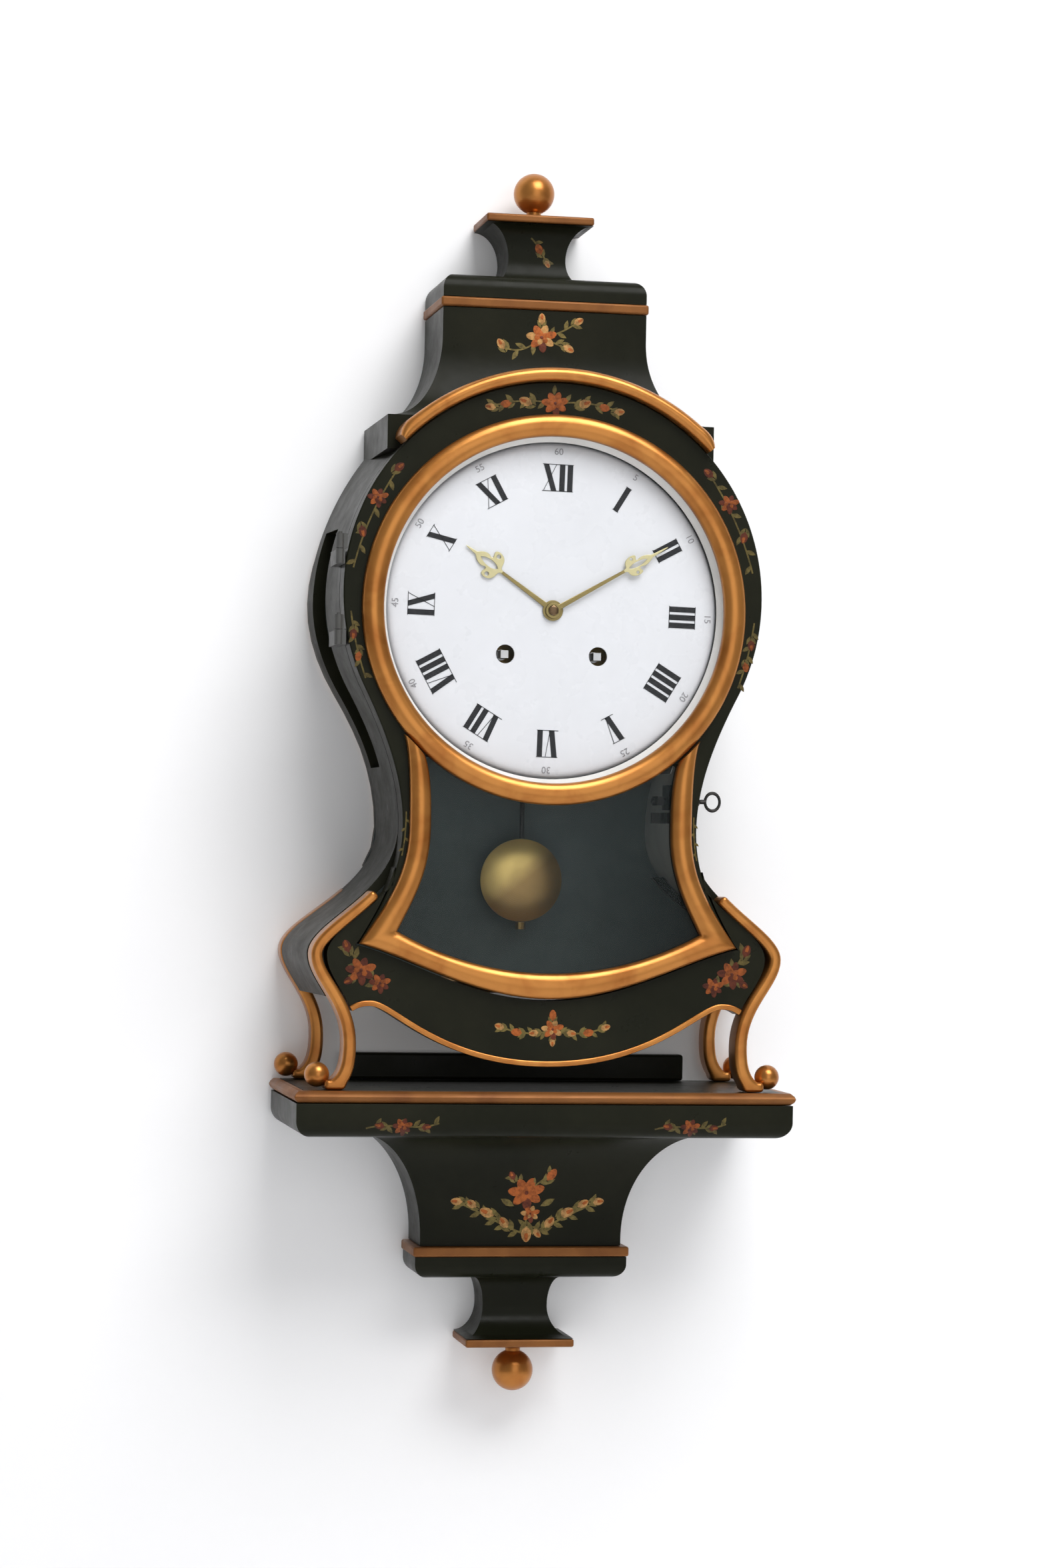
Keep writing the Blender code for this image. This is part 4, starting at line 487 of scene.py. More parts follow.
def finished(name, bm, finishes, body, nodes=(), slot=None, ease=0.0, ease_steps=2, flat=35.0, cutters=()):
    """Turn a bmesh into a piece on a body: cut, eased along its edges, smooth, with its finish."""
    bmesh.ops.remove_doubles(bm, verts=bm.verts, dist=MERGE)
    bmesh.ops.recalc_face_normals(bm, faces=bm.faces)
    piece = linked(name, bm, finishes)
    if cutters:
        cut(piece, cutters)
    piece.data.shade_smooth()
    piece.data.set_sharp_from_angle(angle=math.radians(flat))
    if ease:
        eased = piece.modifiers.new("eased edges", "BEVEL")
        eased.width = ease
        eased.segments = ease_steps
        eased.limit_method = "ANGLE"
        eased.angle_limit = math.radians(flat)
        eased.use_clamp_overlap = True
    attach(piece, body)
    if nodes:
        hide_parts(*nodes)
    return piece


def cut(piece, cutters):
    """Take closed cutters out of a piece and keep the result as its mesh."""
    helpers = []
    for bm in cutters:
        bmesh.ops.recalc_face_normals(bm, faces=bm.faces)
        helpers.append(linked("cutter", bm))
        taken = piece.modifiers.new("cut", "BOOLEAN")
        taken.object = helpers[-1]
        taken.operation = "DIFFERENCE"
        taken.solver = "EXACT"
    graph = bpy.context.evaluated_depsgraph_get()
    mesh = bpy.data.meshes.new_from_object(piece.evaluated_get(graph))
    piece.modifiers.clear()
    piece.data = mesh
    for helper in helpers:
        bpy.data.objects.remove(helper)


def merged_copy(node):
    """A bmesh of a CAD node with its loose triangles joined into whole faces."""
    bm = bmesh.new()
    bm.from_mesh(frame["nodes"][node].data)
    bmesh.ops.remove_doubles(bm, verts=bm.verts, dist=MERGE)
    bmesh.ops.dissolve_limit(bm, angle_limit=math.radians(1.0), verts=bm.verts, edges=bm.edges)
    return bm


# Finishes

Grain = namedtuple("Grain", "scale detail rough distortion", defaults=(0.0,))
GLOSS_FROM = (0.3, 0.75)    # the part of a noise that is spread over a finish's roughness
COLOUR_A, COLOUR_B, COLOUR_OUT = 6, 7, 2     # colour sockets of a Mix node


def feed(tree, node, inputs):
    """Give a node its inputs, each a value or the output that feeds it."""
    for key, value in inputs.items():
        if isinstance(value, bpy.types.NodeSocket):
            tree.links.new(value, node.inputs[key])
        else:
            node.inputs[key].default_value = value


def new_node(tree, kind, inputs, **settings):
    """A shader node with its settings and inputs; gives its outputs."""
    node = tree.nodes.new("ShaderNode" + kind)
    for key, value in settings.items():
        setattr(node, key, value)
    feed(tree, node, inputs)
    return node.outputs


class Finish:
    """A procedural material and the nodes that shape it, on Object coordinates."""

    def __init__(self, name):
        self.material = bpy.data.materials.new(name)
        self.material.use_nodes = True
        self.tree = self.material.node_tree
        self.place = new_node(self.tree, "TexCoord", {})["Object"]

    def given(self, **inputs):
        """Inputs of the surface, with an underscore for each space."""
        feed(self.tree, self.tree.nodes["Principled BSDF"],
             {key.replace("_", " "): value for key, value in inputs.items()})

    def mapped(self, stretch=(1, 1, 1), centre=(0, 0, 0)):
        inputs = {"Vector": self.place, "Location": centre, "Scale": stretch}
        return new_node(self.tree, "Mapping", inputs, vector_type="TEXTURE")["Vector"]

    def noise(self, grain, vector=None):
        return new_node(self.tree, "TexNoise", {
            "Vector": vector or self.place, "Scale": grain.scale, "Detail": grain.detail,
            "Roughness": grain.rough, "Distortion": grain.distortion})["Fac"]

    def spread(self, value, low, high, to_low=0.0, to_high=1.0):
        return new_node(self.tree, "MapRange", {
            "Value": value, "From Min": low, "From Max": high, "To Min": to_low, "To Max": to_high})["Result"]

    def between(self, share, first, second):
        inputs = {"Factor": share, COLOUR_A: (*first, 1.0), COLOUR_B: (*second, 1.0)}
        return new_node(self.tree, "Mix", inputs, data_type="RGBA")[COLOUR_OUT]

    def gloss(self, grain, low, high):
        self.given(Roughness=self.spread(self.noise(grain), *GLOSS_FROM, low, high))

    def bump(self, height, strength, depth):
        inputs = {"Height": height, "Strength": strength, "Distance": depth}
        self.given(Normal=new_node(self.tree, "Bump", inputs)["Normal"])


def known(name, maker):
    """A finish that is made once and shared."""
    return bpy.data.materials.get(name) or maker(name)


def surface(name, base, worn, wear, wear_range, gloss, gloss_range, relief, strength, depth, **inputs):
    """Two colours mixed by a noise, with noises of their own for its roughness and its bump."""
    def make(name):
        f = Finish(name)
        f.given(Base_Color=f.between(f.spread(f.noise(wear), *wear_range), base, worn), **inputs)
        f.gloss(gloss, *gloss_range)
        f.bump(f.noise(relief), strength, depth)
        return f.material
    return known(name, make)


def shaded(base, share):
    """A colour darkened to a share of itself."""
    return [share * x for x in base]


def lacquer():
    c = colours()
    return surface("black_green_lacquer", c.lacquer, c.lacquer_worn, Grain(14.0, 5.0, 0.62), (0.42, 0.78),
                   Grain(55.0, 4.0, 0.7), (0.26, 0.42), Grain(240.0, 3.0, 0.5), 0.10, 0.0005,
                   IOR=1.5, Specular_IOR_Level=0.07)


def gilding(name, base, rubbed, metallic, gloss_range, coat=0.0):
    return surface(name, base, rubbed, Grain(44.0, 3.0, 0.55, 0.4), (0.44, 0.78), Grain(48.0, 2.0, 0.5),
                   gloss_range, Grain(60.0, 1.0, 0.4), 0.012, 0.0005, Metallic=metallic,
                   Specular_IOR_Level=0.2, Coat_Weight=coat, Coat_Roughness=0.22)


def gilt():
    c = colours()
    return gilding("rubbed_gilding", c.gilt, c.gilt_rubbed, 0.80, (0.28, 0.36), 0.15)


def bronze_line():
    c = colours()
    return gilding("bronze_line", c.line, c.line_rubbed, 0.35, (0.38, 0.55))


TOOL_MARKS = Grain(210.0, 3.0, 0.6)


def metal(name, base, gloss_range, metallic=1.0, dulled=0.55):
    """A worked metal with fine tool marks."""
    return surface(name, base, shaded(base, dulled), Grain(90.0, 5.0, 0.65), (0.35, 0.8), TOOL_MARKS,
                   gloss_range, Grain(700.0, 2.0, 0.5), 0.12, 0.0003, Metallic=metallic)


def brass():
    return metal("worked_brass", colours().brass, (0.24, 0.42))


def iron():
    return metal("dark_iron", colours().iron, (0.34, 0.55))


def pewter():
    return metal("dull_hinges", colours().hinge, (0.45, 0.60), 0.2, 0.8)


def steel():
    return metal("bright_steel", colours().steel, (0.26, 0.40), 0.7, 0.8)


def silvered():
    return metal("silvered_slip", colours().slip, (0.30, 0.45), 0.1, 0.9)


HAND_GLOSS = (0.28, 0.44)


def hand_gilt():
    return metal("brown_gilt_hands", colours().hands, HAND_GLOSS, 0.8, 0.7)


def hand_pale():
    return metal("pale_gilt_hands", colours().hands_pale, HAND_GLOSS, 0.5, 0.85)


def hand_brown():
    return metal("brown_hand_nut", colours().nut, HAND_GLOSS, 0.8, 0.7)


def bob_brass(centre, radius):
    """Lacquered brass with turned rings, with a painted highlight towards its upper left and painted shade
    towards its lower right.
    """
    def make(name):
        c, f = colours(), Finish(name)
        # Painted light across the bob: pale towards the upper left, darkened as painted shade towards the
        # lower right
        painted_shade_side = (0.62, 0.0, -0.78)
        lean = new_node(f.tree, "VectorMath", {0: f.mapped((radius, radius, radius), centre), 1: painted_shade_side},
                        operation="DOT_PRODUCT")["Value"]
        f.given(Base_Color=f.between(f.spread(lean, -0.6, 0.05), c.bob, c.bob_brown), Metallic=0.72,
                Specular_IOR_Level=0.3)
        f.gloss(TOOL_MARKS, 0.28, 0.40)
        inputs = {"Vector": f.mapped(centre=centre), "Scale": 300.0, "Distortion": 1.5}
        rings = new_node(f.tree, "TexWave", inputs, wave_type="RINGS", rings_direction="Y")
        f.bump(rings["Fac"], 0.05, 0.0003)
        return f.material
    return known("turned_brass", make)


def enamel():
    base = colours().enamel
    return surface("white_enamel", base, shaded(base, 0.975), Grain(26.0, 4.0, 0.6), (0.4, 0.75),
                   Grain(60.0, 3.0, 0.6), (0.24, 0.34), Grain(30.0, 1.0, 0.4), 0.02, 0.0004, IOR=1.5)


def paint(name, base, share=0.34):
    """Thin brushed paint, lighter and darker along its strokes."""
    return surface(name, base, shaded(base, share), Grain(360.0, 4.0, 0.7), (0.40, 0.68),
                   Grain(300.0, 3.0, 0.6), (0.38, 0.60), Grain(900.0, 3.0, 0.6), 0.25, 0.0003,
                   Specular_IOR_Level=0.2)


def inside_paint(name, base):
    """Dusty paint inside the case."""
    return surface(name, base, shaded(base, 0.7), Grain(24.0, 5.0, 0.6), (0.38, 0.74), Grain(70.0, 3.0, 0.6),
                   (0.55, 0.75), Grain(160.0, 3.0, 0.6), 0.15, 0.0004)


def pine():
    def make(name):
        base, f = colours().pine, Finish(name)
        along_grain = f.mapped(stretch=(9.0, 1.0, 1.0))
        grain = f.spread(f.noise(Grain(30.0, 6.0, 0.65, 0.8), along_grain), 0.35, 0.68)
        f.given(Base_Color=f.between(grain, base, shaded(base, 0.5)),
                Roughness=f.spread(grain, 0.0, 1.0, 0.55, 0.75))
        f.bump(grain, 0.2, 0.0005)
        return f.material
    return known("bare_pine", make)


def glass(name, veil):
    """Old glass under a thin grey veil."""
    def make(name):
        f = Finish(name)
        smear = f.spread(f.noise(Grain(18.0, 3.0, 0.6)), 0.35, 0.75, 0.7 * veil, veil)
        f.given(Base_Color=(*colours().glass, 1.0), IOR=1.5, Alpha=smear)
        f.gloss(Grain(40.0, 2.0, 0.5), 0.04, 0.07)
        f.bump(f.noise(Grain(9.0, 1.0, 0.4)), 0.008, 0.002)
        return f.material
    return known(name, make)


# Pieces of the case

BEYOND = 0.2                # how far a round cutter runs to the front
UPRIGHT = 0.35              # share of a moulded block's height that stays upright
GILT_FLAT = 50.0            # degrees, sharpest bend that gilding still rounds over
NECK_WAIST = 0.42           # share of the crown neck's height where it is slimmest
LEG_ROUND = 0.0026          # rounding of the legs' edges
TOE_HIGH = 0.0055           # height of a toe's upper edge
TOE_RISE = 0.0015           # toes' balls over the legs' ground
TOE_POINTS = 4              # points of a leg's inner edge that would cross its toe
RAIL_MORE = 0.004           # how much taller the rail is than its solid


def round_cutter(radius, centre, steps, back=0.0):
    """A round cutter along Y, from a depth behind its centre to the front."""
    return turned([(0.0, back), (radius, back), (radius, -BEYOND), (0.0, -BEYOND)], centre, "Y", steps)


def lacquered(name, bm, nodes=(), body="case", **more):
    return finished(name, bm, [lacquer()], body, nodes, "lacquer", **more)


def gilded(name, bm, nodes=(), body="case"):
    return finished(name, bm, [gilt()], body, nodes, "gilt", flat=GILT_FLAT)


def gilt_lines(*nodes):
    """Flat bronze-painted lines and caps with rounded edges."""
    for node in nodes:
        half, deep, low, high = span(node)
        finished(node + "_gilt", stack([(low, half, deep), (high, half, deep)]), [bronze_line()], "case",
                 [node], "gilt", ease=0.0012, ease_steps=3)


def roof_levels():
    s = sizes()
    half, deep, low, high = span("roof_tower")
    spread, straight = low + s.eaves_drop, high - s.tower_straight
    slope = hollow((straight, s.tower_half, s.tower_deep), (spread, half, deep), 36)
    return [(low - s.eaves_drop, half, deep), (spread, half, deep)] + slope[-2::-1] + [
        (high, s.tower_half, s.tower_deep)]


class CLOCK_OT_roof(bpy.types.Operator):
    """Lacquered roof that sweeps up from the drum to a straight tower"""

    bl_idname = "clock.roof"
    bl_label = "Roof"

    def execute(self, context):
        low, wide, tall = span("roof_tower")[2], 0.3, 0.1
        drum = round_cutter(DRUM_R - sizes().wall, (0, 0, DIAL_Z + DRUM_UP), 180, 0.02)
        under = block((-wide, -wide, low - tall), (wide, tall, low))
        lacquered("roof", stack(roof_levels()), ["roof_tower"], ease=0.0007, cutters=[drum, under])
        return {"FINISHED"}


def crown_levels():
    s = sizes()
    half, deep, low, high = span("crown_block")
    cap_half, cap_deep = span("crown_cap")[:2]
    foot = low + s.crown_high
    waist = foot + NECK_WAIST * (high - foot)
    levels = [(low, half, deep)] + swelling((low + UPRIGHT * s.crown_high, half, deep), foot, s.crown_in)
    neck = (waist, s.neck_half, s.neck_deep)
    levels += hollow(neck, (foot, s.neck_half + s.neck_flare, s.neck_deep + s.neck_flare), 16)[::-1]
    return levels + hollow(neck, (high, cap_half - GAP, cap_deep - GAP), 24)[1:]


def gilt_ball(name, seat, up, steps=24):
    """A turned ball on a short stem, standing on a seat or hanging from it."""
    low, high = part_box(name)
    radius = 0.5 * (high.x - low.x)
    stem = 0.36 * radius
    foot = 1.45 * stem
    joins = math.asin(stem / radius)
    middle = stem + radius * math.cos(joins)
    profile = [(0.0, 0.0), (foot, 0.0), (foot, 0.12 * radius), (stem, 0.22 * radius)]
    for k in range(steps):
        angle = (math.pi - joins) * (1 - k / steps)
        profile.append((radius * math.sin(angle), middle + radius * math.cos(angle)))
    profile.append((0.0, middle + radius))
    seat = (0.0, 0.5 * (low.y + high.y), seat)
    return gilded(name + "_turned", turned([(r, up * z) for r, z in profile], seat, "Z", 64), [name])


class CLOCK_OT_crown(bpy.types.Operator):
    """Crown over the roof: gilt line, block with a hollow neck, cap and ball"""

    bl_idname = "clock.crown"
    bl_label = "Crown"

    def execute(self, context):
        gilt_lines("crown_line", "crown_cap")
        lacquered("crown_neck", stack(crown_levels()), ["crown_block"], ease=0.0006)
        gilt_ball("crown_ball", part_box("crown_ball")[0].z, 1)
        return {"FINISHED"}


def side_panel(node, sign, pale):
    """One curved side with its sound slot, cut out at the heel for the back leg."""
    s = sizes()
    low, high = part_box(node)
    edges = [[p for p in drum_to_waist(SIDE_TOP, inset) + waist_to_ankle(inset) if p[1] > -s.side_drop]
             for inset in (0.0, s.wall)]
    panel = swelled(board([[(sign * x, z) for x, z in edges[0] + edges[1][::-1]]], high.y, low.y))
    near, far = sorted((sign * (s.waist_half - 2 * s.wall), sign * (DRUM_R + 3 * s.wall)))
    slot = block((near, -s.slot_front, DIAL_Z - s.slot_drop), (far, -s.slot_back, DIAL_Z + s.slot_up))
    outer, inner = leg_edges()
    notch = [(sign * (x + s.wall), z) for x, z in outer] + [(sign * (x - 2 * GAP), z) for x, z in inner[::-1]]
    heel = swelled(board([notch], 0.01, -s.leg_deep - GAP), True)
    for each in (heel, panel):
        bmesh.ops.triangulate(each, faces=each.faces[:])
    piece = finished(node + "_panel", panel, [lacquer(), pale], "case", [node], "lacquer", ease=0.0007,
                     cutters=[slot, heel])
    for face in piece.data.polygons:
        face.material_index = 1 if sign * face.normal.x < -0.3 else 0


def heel_fillet(node, sign):
    """A slim fillet inside a side, in front of the back leg."""
    s = sizes()
    edges = [[p for p in waist_to_ankle(s.wall + inset) if -s.side_drop < p[1] < -s.leg_top + s.wall]
             for inset in (GAP, s.wall)]
    strip = [(sign * x, z) for x, z in edges[0] + edges[1][::-1]]
    seat, deep = -s.leg_deep - 2 * GAP, 0.004
    lacquered(f"{node}_fillet", swelled(board([strip], seat, seat - deep)), ease=0.0004)


class CLOCK_OT_sides(bpy.types.Operator):
    """Curved lacquered sides, each with a long sound slot, and the back board"""

    bl_idname = "clock.sides"
    bl_label = "Sides"

    def execute(self, context):
        c = colours()
        pale = inside_paint("pale_inside", c.inside_pale)
        faces = [lacquer(), inside_paint("back_paint", c.inside), pine()]
        back = finished("back_panel", merged_copy("back_board"), faces, "case", ["back_board"], "lacquer")
        for face in back.data.polygons:
            face.material_index = 1 if face.normal.y < -0.5 else 2 if face.normal.y > 0.5 else 0
        for node, sign in (("left_side", -1), ("right_side", 1)):
            side_panel(node, sign, pale)
            heel_fillet(node, sign)
        return {"FINISHED"}


def offset(path, start, end=None):
    """A path moved sideways, to its left as it runs, by a distance that may change on its way."""
    moved, last = [], len(path) - 1
    grows = 0.0 if end is None else end - start
    for k, (x, z) in enumerate(path):
        a, b = path[max(k - 1, 0)], path[min(k + 1, last)]
        along = Vector((b[0] - a[0], b[1] - a[1])).normalized()
        distance = start + grows * k / last
        moved.append((x - along.y * distance, z + along.x * distance))
    return moved


class CLOCK_OT_apron(bpy.types.Operator):
    """Scalloped apron under the door with its gilt lower edge, and the rail behind"""

    bl_idname = "clock.apron"
    bl_label = "Apron"

    def execute(self, context):
        low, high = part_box("front_apron")
        lacquered("apron_panel", board([mirrored(apron_half())], high.y, low.y), ["front_apron"], ease=0.0008)
        edge = both_sides(apron_scallop(sizes().leg_wide + 4 * GAP))
        wide, proud = 0.0031, 0.0011
        gilded("apron_gilt_edge", swept(edge, offset(edge, -wide), half_round(8, 0.5), FRONT, proud))
        low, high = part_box("rear_rail")
        lacquered("rail", block(low, high + Vector((0, 0, RAIL_MORE))), ["rear_rail"], ease=0.0015,
                  ease_steps=3)
        return {"FINISHED"}


def leg_edges():
    """Outer and inner edge of an S-scroll leg seen from the front, thin at its top."""
    s = sizes()
    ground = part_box("front_right_leg")[0].z - DIAL_Z
    outer = [p for p in waist_to_ankle(0.0) if p[1] < -s.leg_top]
    ankle, toe = outer[-1], (s.toe_half, ground + TOE_HIGH)
    outer += bezier(ankle, (ankle[0], ankle[1] - 0.010), (toe[0] - 0.005, toe[1] + 0.003), toe, 16)
    inner = offset(outer, -s.leg_thin, -s.leg_wide)
    return outer, [p for p in inner[:-TOE_POINTS] if p[1] > ground] + [(toe[0] - s.leg_wide, ground)]


def leg_loop(sign):
    """Outline of a scroll leg with a toe that turns out."""
    s = sizes()
    outer, inner = leg_edges()
    end = s.toe_half + 0.5 * s.toe_ball
    toe = [(end, outer[-1][1]), (end, inner[-1][1])]
    return [(sign * x, z) for x, z in outer + toe + inner[::-1]]


def scroll_leg(node, sign):
    """A rounded scroll leg with a ball on its toe."""
    s = sizes()
    low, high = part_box(node)
    leg = board([leg_loop(sign)], high.y, low.y)
    sharp = [e for e in leg.edges if e.is_manifold and e.calc_face_angle() > math.radians(60)]
    bmesh.ops.bevel(leg, geom=sharp, offset=LEG_ROUND, offset_type="OFFSET", segments=5, profile=0.5,
                    affect="EDGES", material=-1, clamp_overlap=True)
    ball = bmesh.new()
    bmesh.ops.create_uvsphere(ball, u_segments=32, v_segments=20, radius=s.toe_ball)
    bmesh.ops.translate(ball, verts=ball.verts, vec=(
        sign * (s.toe_half + s.toe_ball), 0.5 * (low.y + high.y), low.z - GAP + s.toe_ball + TOE_RISE))
    return added(leg, ball)


class CLOCK_OT_legs(bpy.types.Operator):
    """Four gilt scroll legs, each with a ball on its toe"""

    bl_idname = "clock.legs"
    bl_label = "Legs"

    def execute(self, context):
        for side, sign in (("left", -1), ("right", 1)):
            for row in ("front", "back"):
                node = f"{row}_{side}_leg"
                leg = scroll_leg(node, sign)
                gilded(node + "_scroll", swelled(leg, True) if row == "back" else leg, [node])
        return {"FINISHED"}


# Door, dial and pendulum

DOOR_SEAT = 0.003           # how far the openings in the door run past their mouldings
BEZEL_LAP = 0.004           # how far the bezel laps over the top of the window
SLIP_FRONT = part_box("dial_glass")[1].y + GAP
DIAL_LOW, DIAL_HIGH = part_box("dial")
DIAL_R = DIAL_HIGH.x
RIM_Y = DOOR_BACK + 0.0005  # depth of the dial's rim
DOME = RIM_Y - DIAL_LOW.y
FLATNESS = 60               # the higher, the nearer to its rim the dial stays flat
CENTRE_HOLE, WINDING_HOLE = 0.0046, 0.0052
MINUTE_R, MINUTE_HIGH = 0.0875, 0.0052
INK_LIFT, INK_THICK = 0.0002, 0.00012
FADED_INK = (0.36, 0.36, 0.38)


def window_edge(grow):
    """Edge of the opening behind the window's moulding, wider than the moulding by grow."""
    s = sizes()
    top = arc((0.0, 0.0), BEZEL_R - BEZEL_LAP - grow, -90, -52, 24)
    side = [(x + grow, z) for x, z in window_side(True)[1:-1]]
    corner = [(s.corner_half + grow, -s.corner_drop)]
    foot = [(x + grow, z - grow) for x, z in window_foot(True)[:-1]]
    return mirrored(top + side + corner + foot + [(0.0, -s.window_foot - grow)])


class CLOCK_OT_door(bpy.types.Operator):
    """Lacquered door frame with the openings for the dial and the pendulum window"""

    bl_idname = "clock.door"
    bl_label = "Door"

    def execute(self, context):
        hole = arc((0.0, 0.0), sizes().dial_opening + DOOR_SEAT, 0, 357.5, 143)
        loops = [mirrored(door_side() + window_foot(False)), hole, window_edge(DOOR_SEAT)]
        lacquered("door_panel", board(loops, DOOR_BACK, FRONT), ["door_frame"], "door", ease=0.0007)
        return {"FINISHED"}


def slip_profile():
    """Section of the ring between the bezel and the dial: a flat band with a cone towards the dial."""
    opening, rear = sizes().dial_opening, DIAL_LOW.y
    outer, back = opening + DOOR_SEAT - GAP, rear + 0.001
    return [(opening + 0.0008, SLIP_FRONT), (outer, SLIP_FRONT), (outer, back), (opening, back),
            (opening - 0.0024, rear - 0.0002)]


def hood(crown):
    """The moulding over the door, its ends turned down and drawn to a point."""
    s = sizes()
    middle, high = (0.0, DRUM_UP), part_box("arch_moulding")[1]
    inside, outside = DRUM_R + GAP, high.z - DIAL_Z - DRUM_UP
    end, spread, blunt = 0.0045, 0.0078, 0.003
    turn = math.degrees(math.acos(s.arch_reach / outside))
    below = math.degrees(math.acos((s.arch_reach + end) / inside))
    inner = arc(middle, inside, 90, turn, 40) + arc(middle, inside, turn, below, 8)[1:]
    outer = arc(middle, outside, 90, turn, 40)
    x, z = outer[-1]
    drop = z - inner[-1][1] - blunt
    outer += bezier((x, z), (x + 0.003, z - 0.002), (x + spread, z - 0.5 * drop), (x + spread, z - drop), 8)
    deep = high.y - FRONT + PROUD
    rounded = [(u, (high.y - FRONT + PROUD * v) / deep) for u, v in crown[1:-1]]
    section = [(0.0, 0.0), *rounded, (1.0, 0.0)]
    return swept(both_sides(inner[::-1]), both_sides(outer[::-1]), section, high.y, deep)


class CLOCK_OT_mouldings(bpy.types.Operator):
    """Mouldings on the door: gilt bezel, window surround and hood, and the slip round the dial"""

    bl_idname = "clock.mouldings"
    bl_label = "Mouldings"

    def execute(self, context):
        opening, seat, crown = sizes().dial_opening, FRONT - GAP, half_round(14)
        profile = [(opening + (BEZEL_R - opening) * u, seat - PROUD * v) for u, v in crown]
        gilded("bezel_ring", turned(profile, (0, 0, DIAL_Z), "Y", 160), ["dial_bezel"], "door")
        inner, outer = (both_sides(window_side(inside) + window_foot(inside)) for inside in (True, False))
        gilded("window_surround", swept(inner, outer, crown, seat, PROUD), ["window_moulding"], "door")
        finished("dial_slip", turned(slip_profile(), (0, 0, DIAL_Z), "Y", 144), [silvered()], "door",
                 slot="brass")
        gilded("hood_moulding", hood(crown), ["arch_moulding"], "door")
        return {"FINISHED"}


def dome_y(radius):
    """Depth of the dial's face at a radius."""
    return RIM_Y - DOME * (1 - (radius / DIAL_R) ** FLATNESS)


class CLOCK_OT_dial(bpy.types.Operator):
    """Enamel dial, flat nearly to its rim, with two winding holes"""

    bl_idname = "clock.dial"
    bl_label = "Dial"

    def execute(self, context):
        thick, steps = 0.0015, 32
        shares = [1 - (1 - k / steps) ** 3 for k in range(steps + 1)]
        face = [(r, dome_y(r)) for r in (CENTRE_HOLE + (DIAL_R - CENTRE_HOLE) * share for share in shares)]
        profile = face + [(r, y + thick) for r, y in reversed(face)]
        drills = []
        for node in ("going_winding_arbor", "strike_winding_arbor"):
            middle = 0.5 * (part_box(node)[0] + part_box(node)[1])
            drills.append(round_cutter(WINDING_HOLE, (middle.x, 0, middle.z), 48))
        finished("dial_plate", turned(profile, (0, 0, DIAL_Z), "Y", 144), [enamel()], "case", ["dial"],
                 "enamel", ease=0.0003, cutters=drills)
        return {"FINISHED"}


ROMAN = ("XII", "I", "II", "III", "IIII", "V", "VI", "VII", "VIII", "IX", "X", "XI")


def stroke(bm, x_foot, x_head, wide, z_low, z_high):
    """One upright or leaning pen stroke of a numeral, standing on z_low."""
    made = bmesh.ops.create_grid(bm, x_segments=2, y_segments=8, size=0.5)["verts"]
    bmesh.ops.rotate(bm, verts=made, cent=(0, 0, 0), matrix=Matrix.Rotation(math.pi / 2, 3, "X"))
    for vert in made:
        share = vert.co.z + 0.5
        vert.co.x = x_foot + (x_head - x_foot) * share + vert.co.x * wide
        vert.co.z = z_low + (z_high - z_low) * share


def numeral(text, high):
    """A flat Roman numeral on its own, centred, upright on the XZ plane."""
    thick, thin, gap = 0.20 * high, 0.022 * high, 0.095 * high
    widths = {"I": thick, "V": 0.46 * high, "X": 0.52 * high}
    bm = bmesh.new()
    x, half = 0.0, 0.5 * high
    for letter in text:
        wide = widths[letter]
        broad_foot = {"I": 0.5 * thick, "V": 0.5 * wide, "X": wide - 0.5 * thick}[letter]
        stroke(bm, x + broad_foot, x + 0.5 * thick, thick, -half, half)
        if letter != "I":
            fine_foot = 0.62 * wide if letter == "V" else thin
            stroke(bm, x + fine_foot, x + wide - thin, thin, -half, half)
        x += wide + gap
    wide = x - gap
    for z in (-half, half - thin):
        stroke(bm, 0.5 * wide, 0.5 * wide, wide + 2 * thin, z, z + thin)
    bmesh.ops.translate(bm, verts=bm.verts, vec=(-0.5 * wide, 0, 0))
    return bm


def minute_number(text, high):
    """A flat number in Blender's own plain letters, as a bmesh on the XZ plane."""
    curve = bpy.data.curves.new("minute_number", "FONT")
    curve.body = text
    curve.size = high
    curve.align_x, curve.align_y = "CENTER", "CENTER"
    helper = linked("minute_number", curve)
    mesh = bpy.data.meshes.new_from_object(helper.evaluated_get(bpy.context.evaluated_depsgraph_get()))
    bm = bmesh.new()
    bm.from_mesh(mesh)
    bpy.data.objects.remove(helper)
    bpy.data.curves.remove(curve)
    bpy.data.meshes.remove(mesh)
    return rotated(bm, 90, "X")


def on_dome(bm):
    """Lay a flat drawing on the dial's face, as thick as ink."""
    for vert in bm.verts:
        vert.co.y = dome_y(math.hypot(vert.co.x, vert.co.z)) - INK_LIFT
    bmesh.ops.translate(bm, verts=bm.verts, vec=(0, 0, DIAL_Z))
    bmesh.ops.solidify(bm, geom=bm.faces, thickness=INK_THICK)
    return bm


class CLOCK_OT_numerals(bpy.types.Operator):
    """Roman hours and small minute numbers painted on the dial"""

    bl_idname = "clock.numerals"
    bl_label = "Numerals"

    def execute(self, context):
        s = sizes()
        hours, minutes = bmesh.new(), bmesh.new()
        for k, text in enumerate(ROMAN):
            turn = Matrix.Rotation(math.radians(30 * k) + s.numeral_turn, 4, "Y")
            for whole, figure, radius in (
                    (hours, numeral(text, s.numeral_high), s.numeral_r),
                    (minutes, minute_number(str(5 * k or 60), MINUTE_HIGH), MINUTE_R)):
                place = turn @ Matrix.Translation((0, 0, radius))
                bmesh.ops.transform(figure, matrix=place, verts=figure.verts)
                added(whole, figure)
        for name, bm, base in (("hour_numerals", hours, colours().ink),
                               ("minute_numbers", minutes, FADED_INK)):
            finished(name, on_dome(bm), [paint(name + "_ink", base, 0.7)], "case")
        return {"FINISHED"}


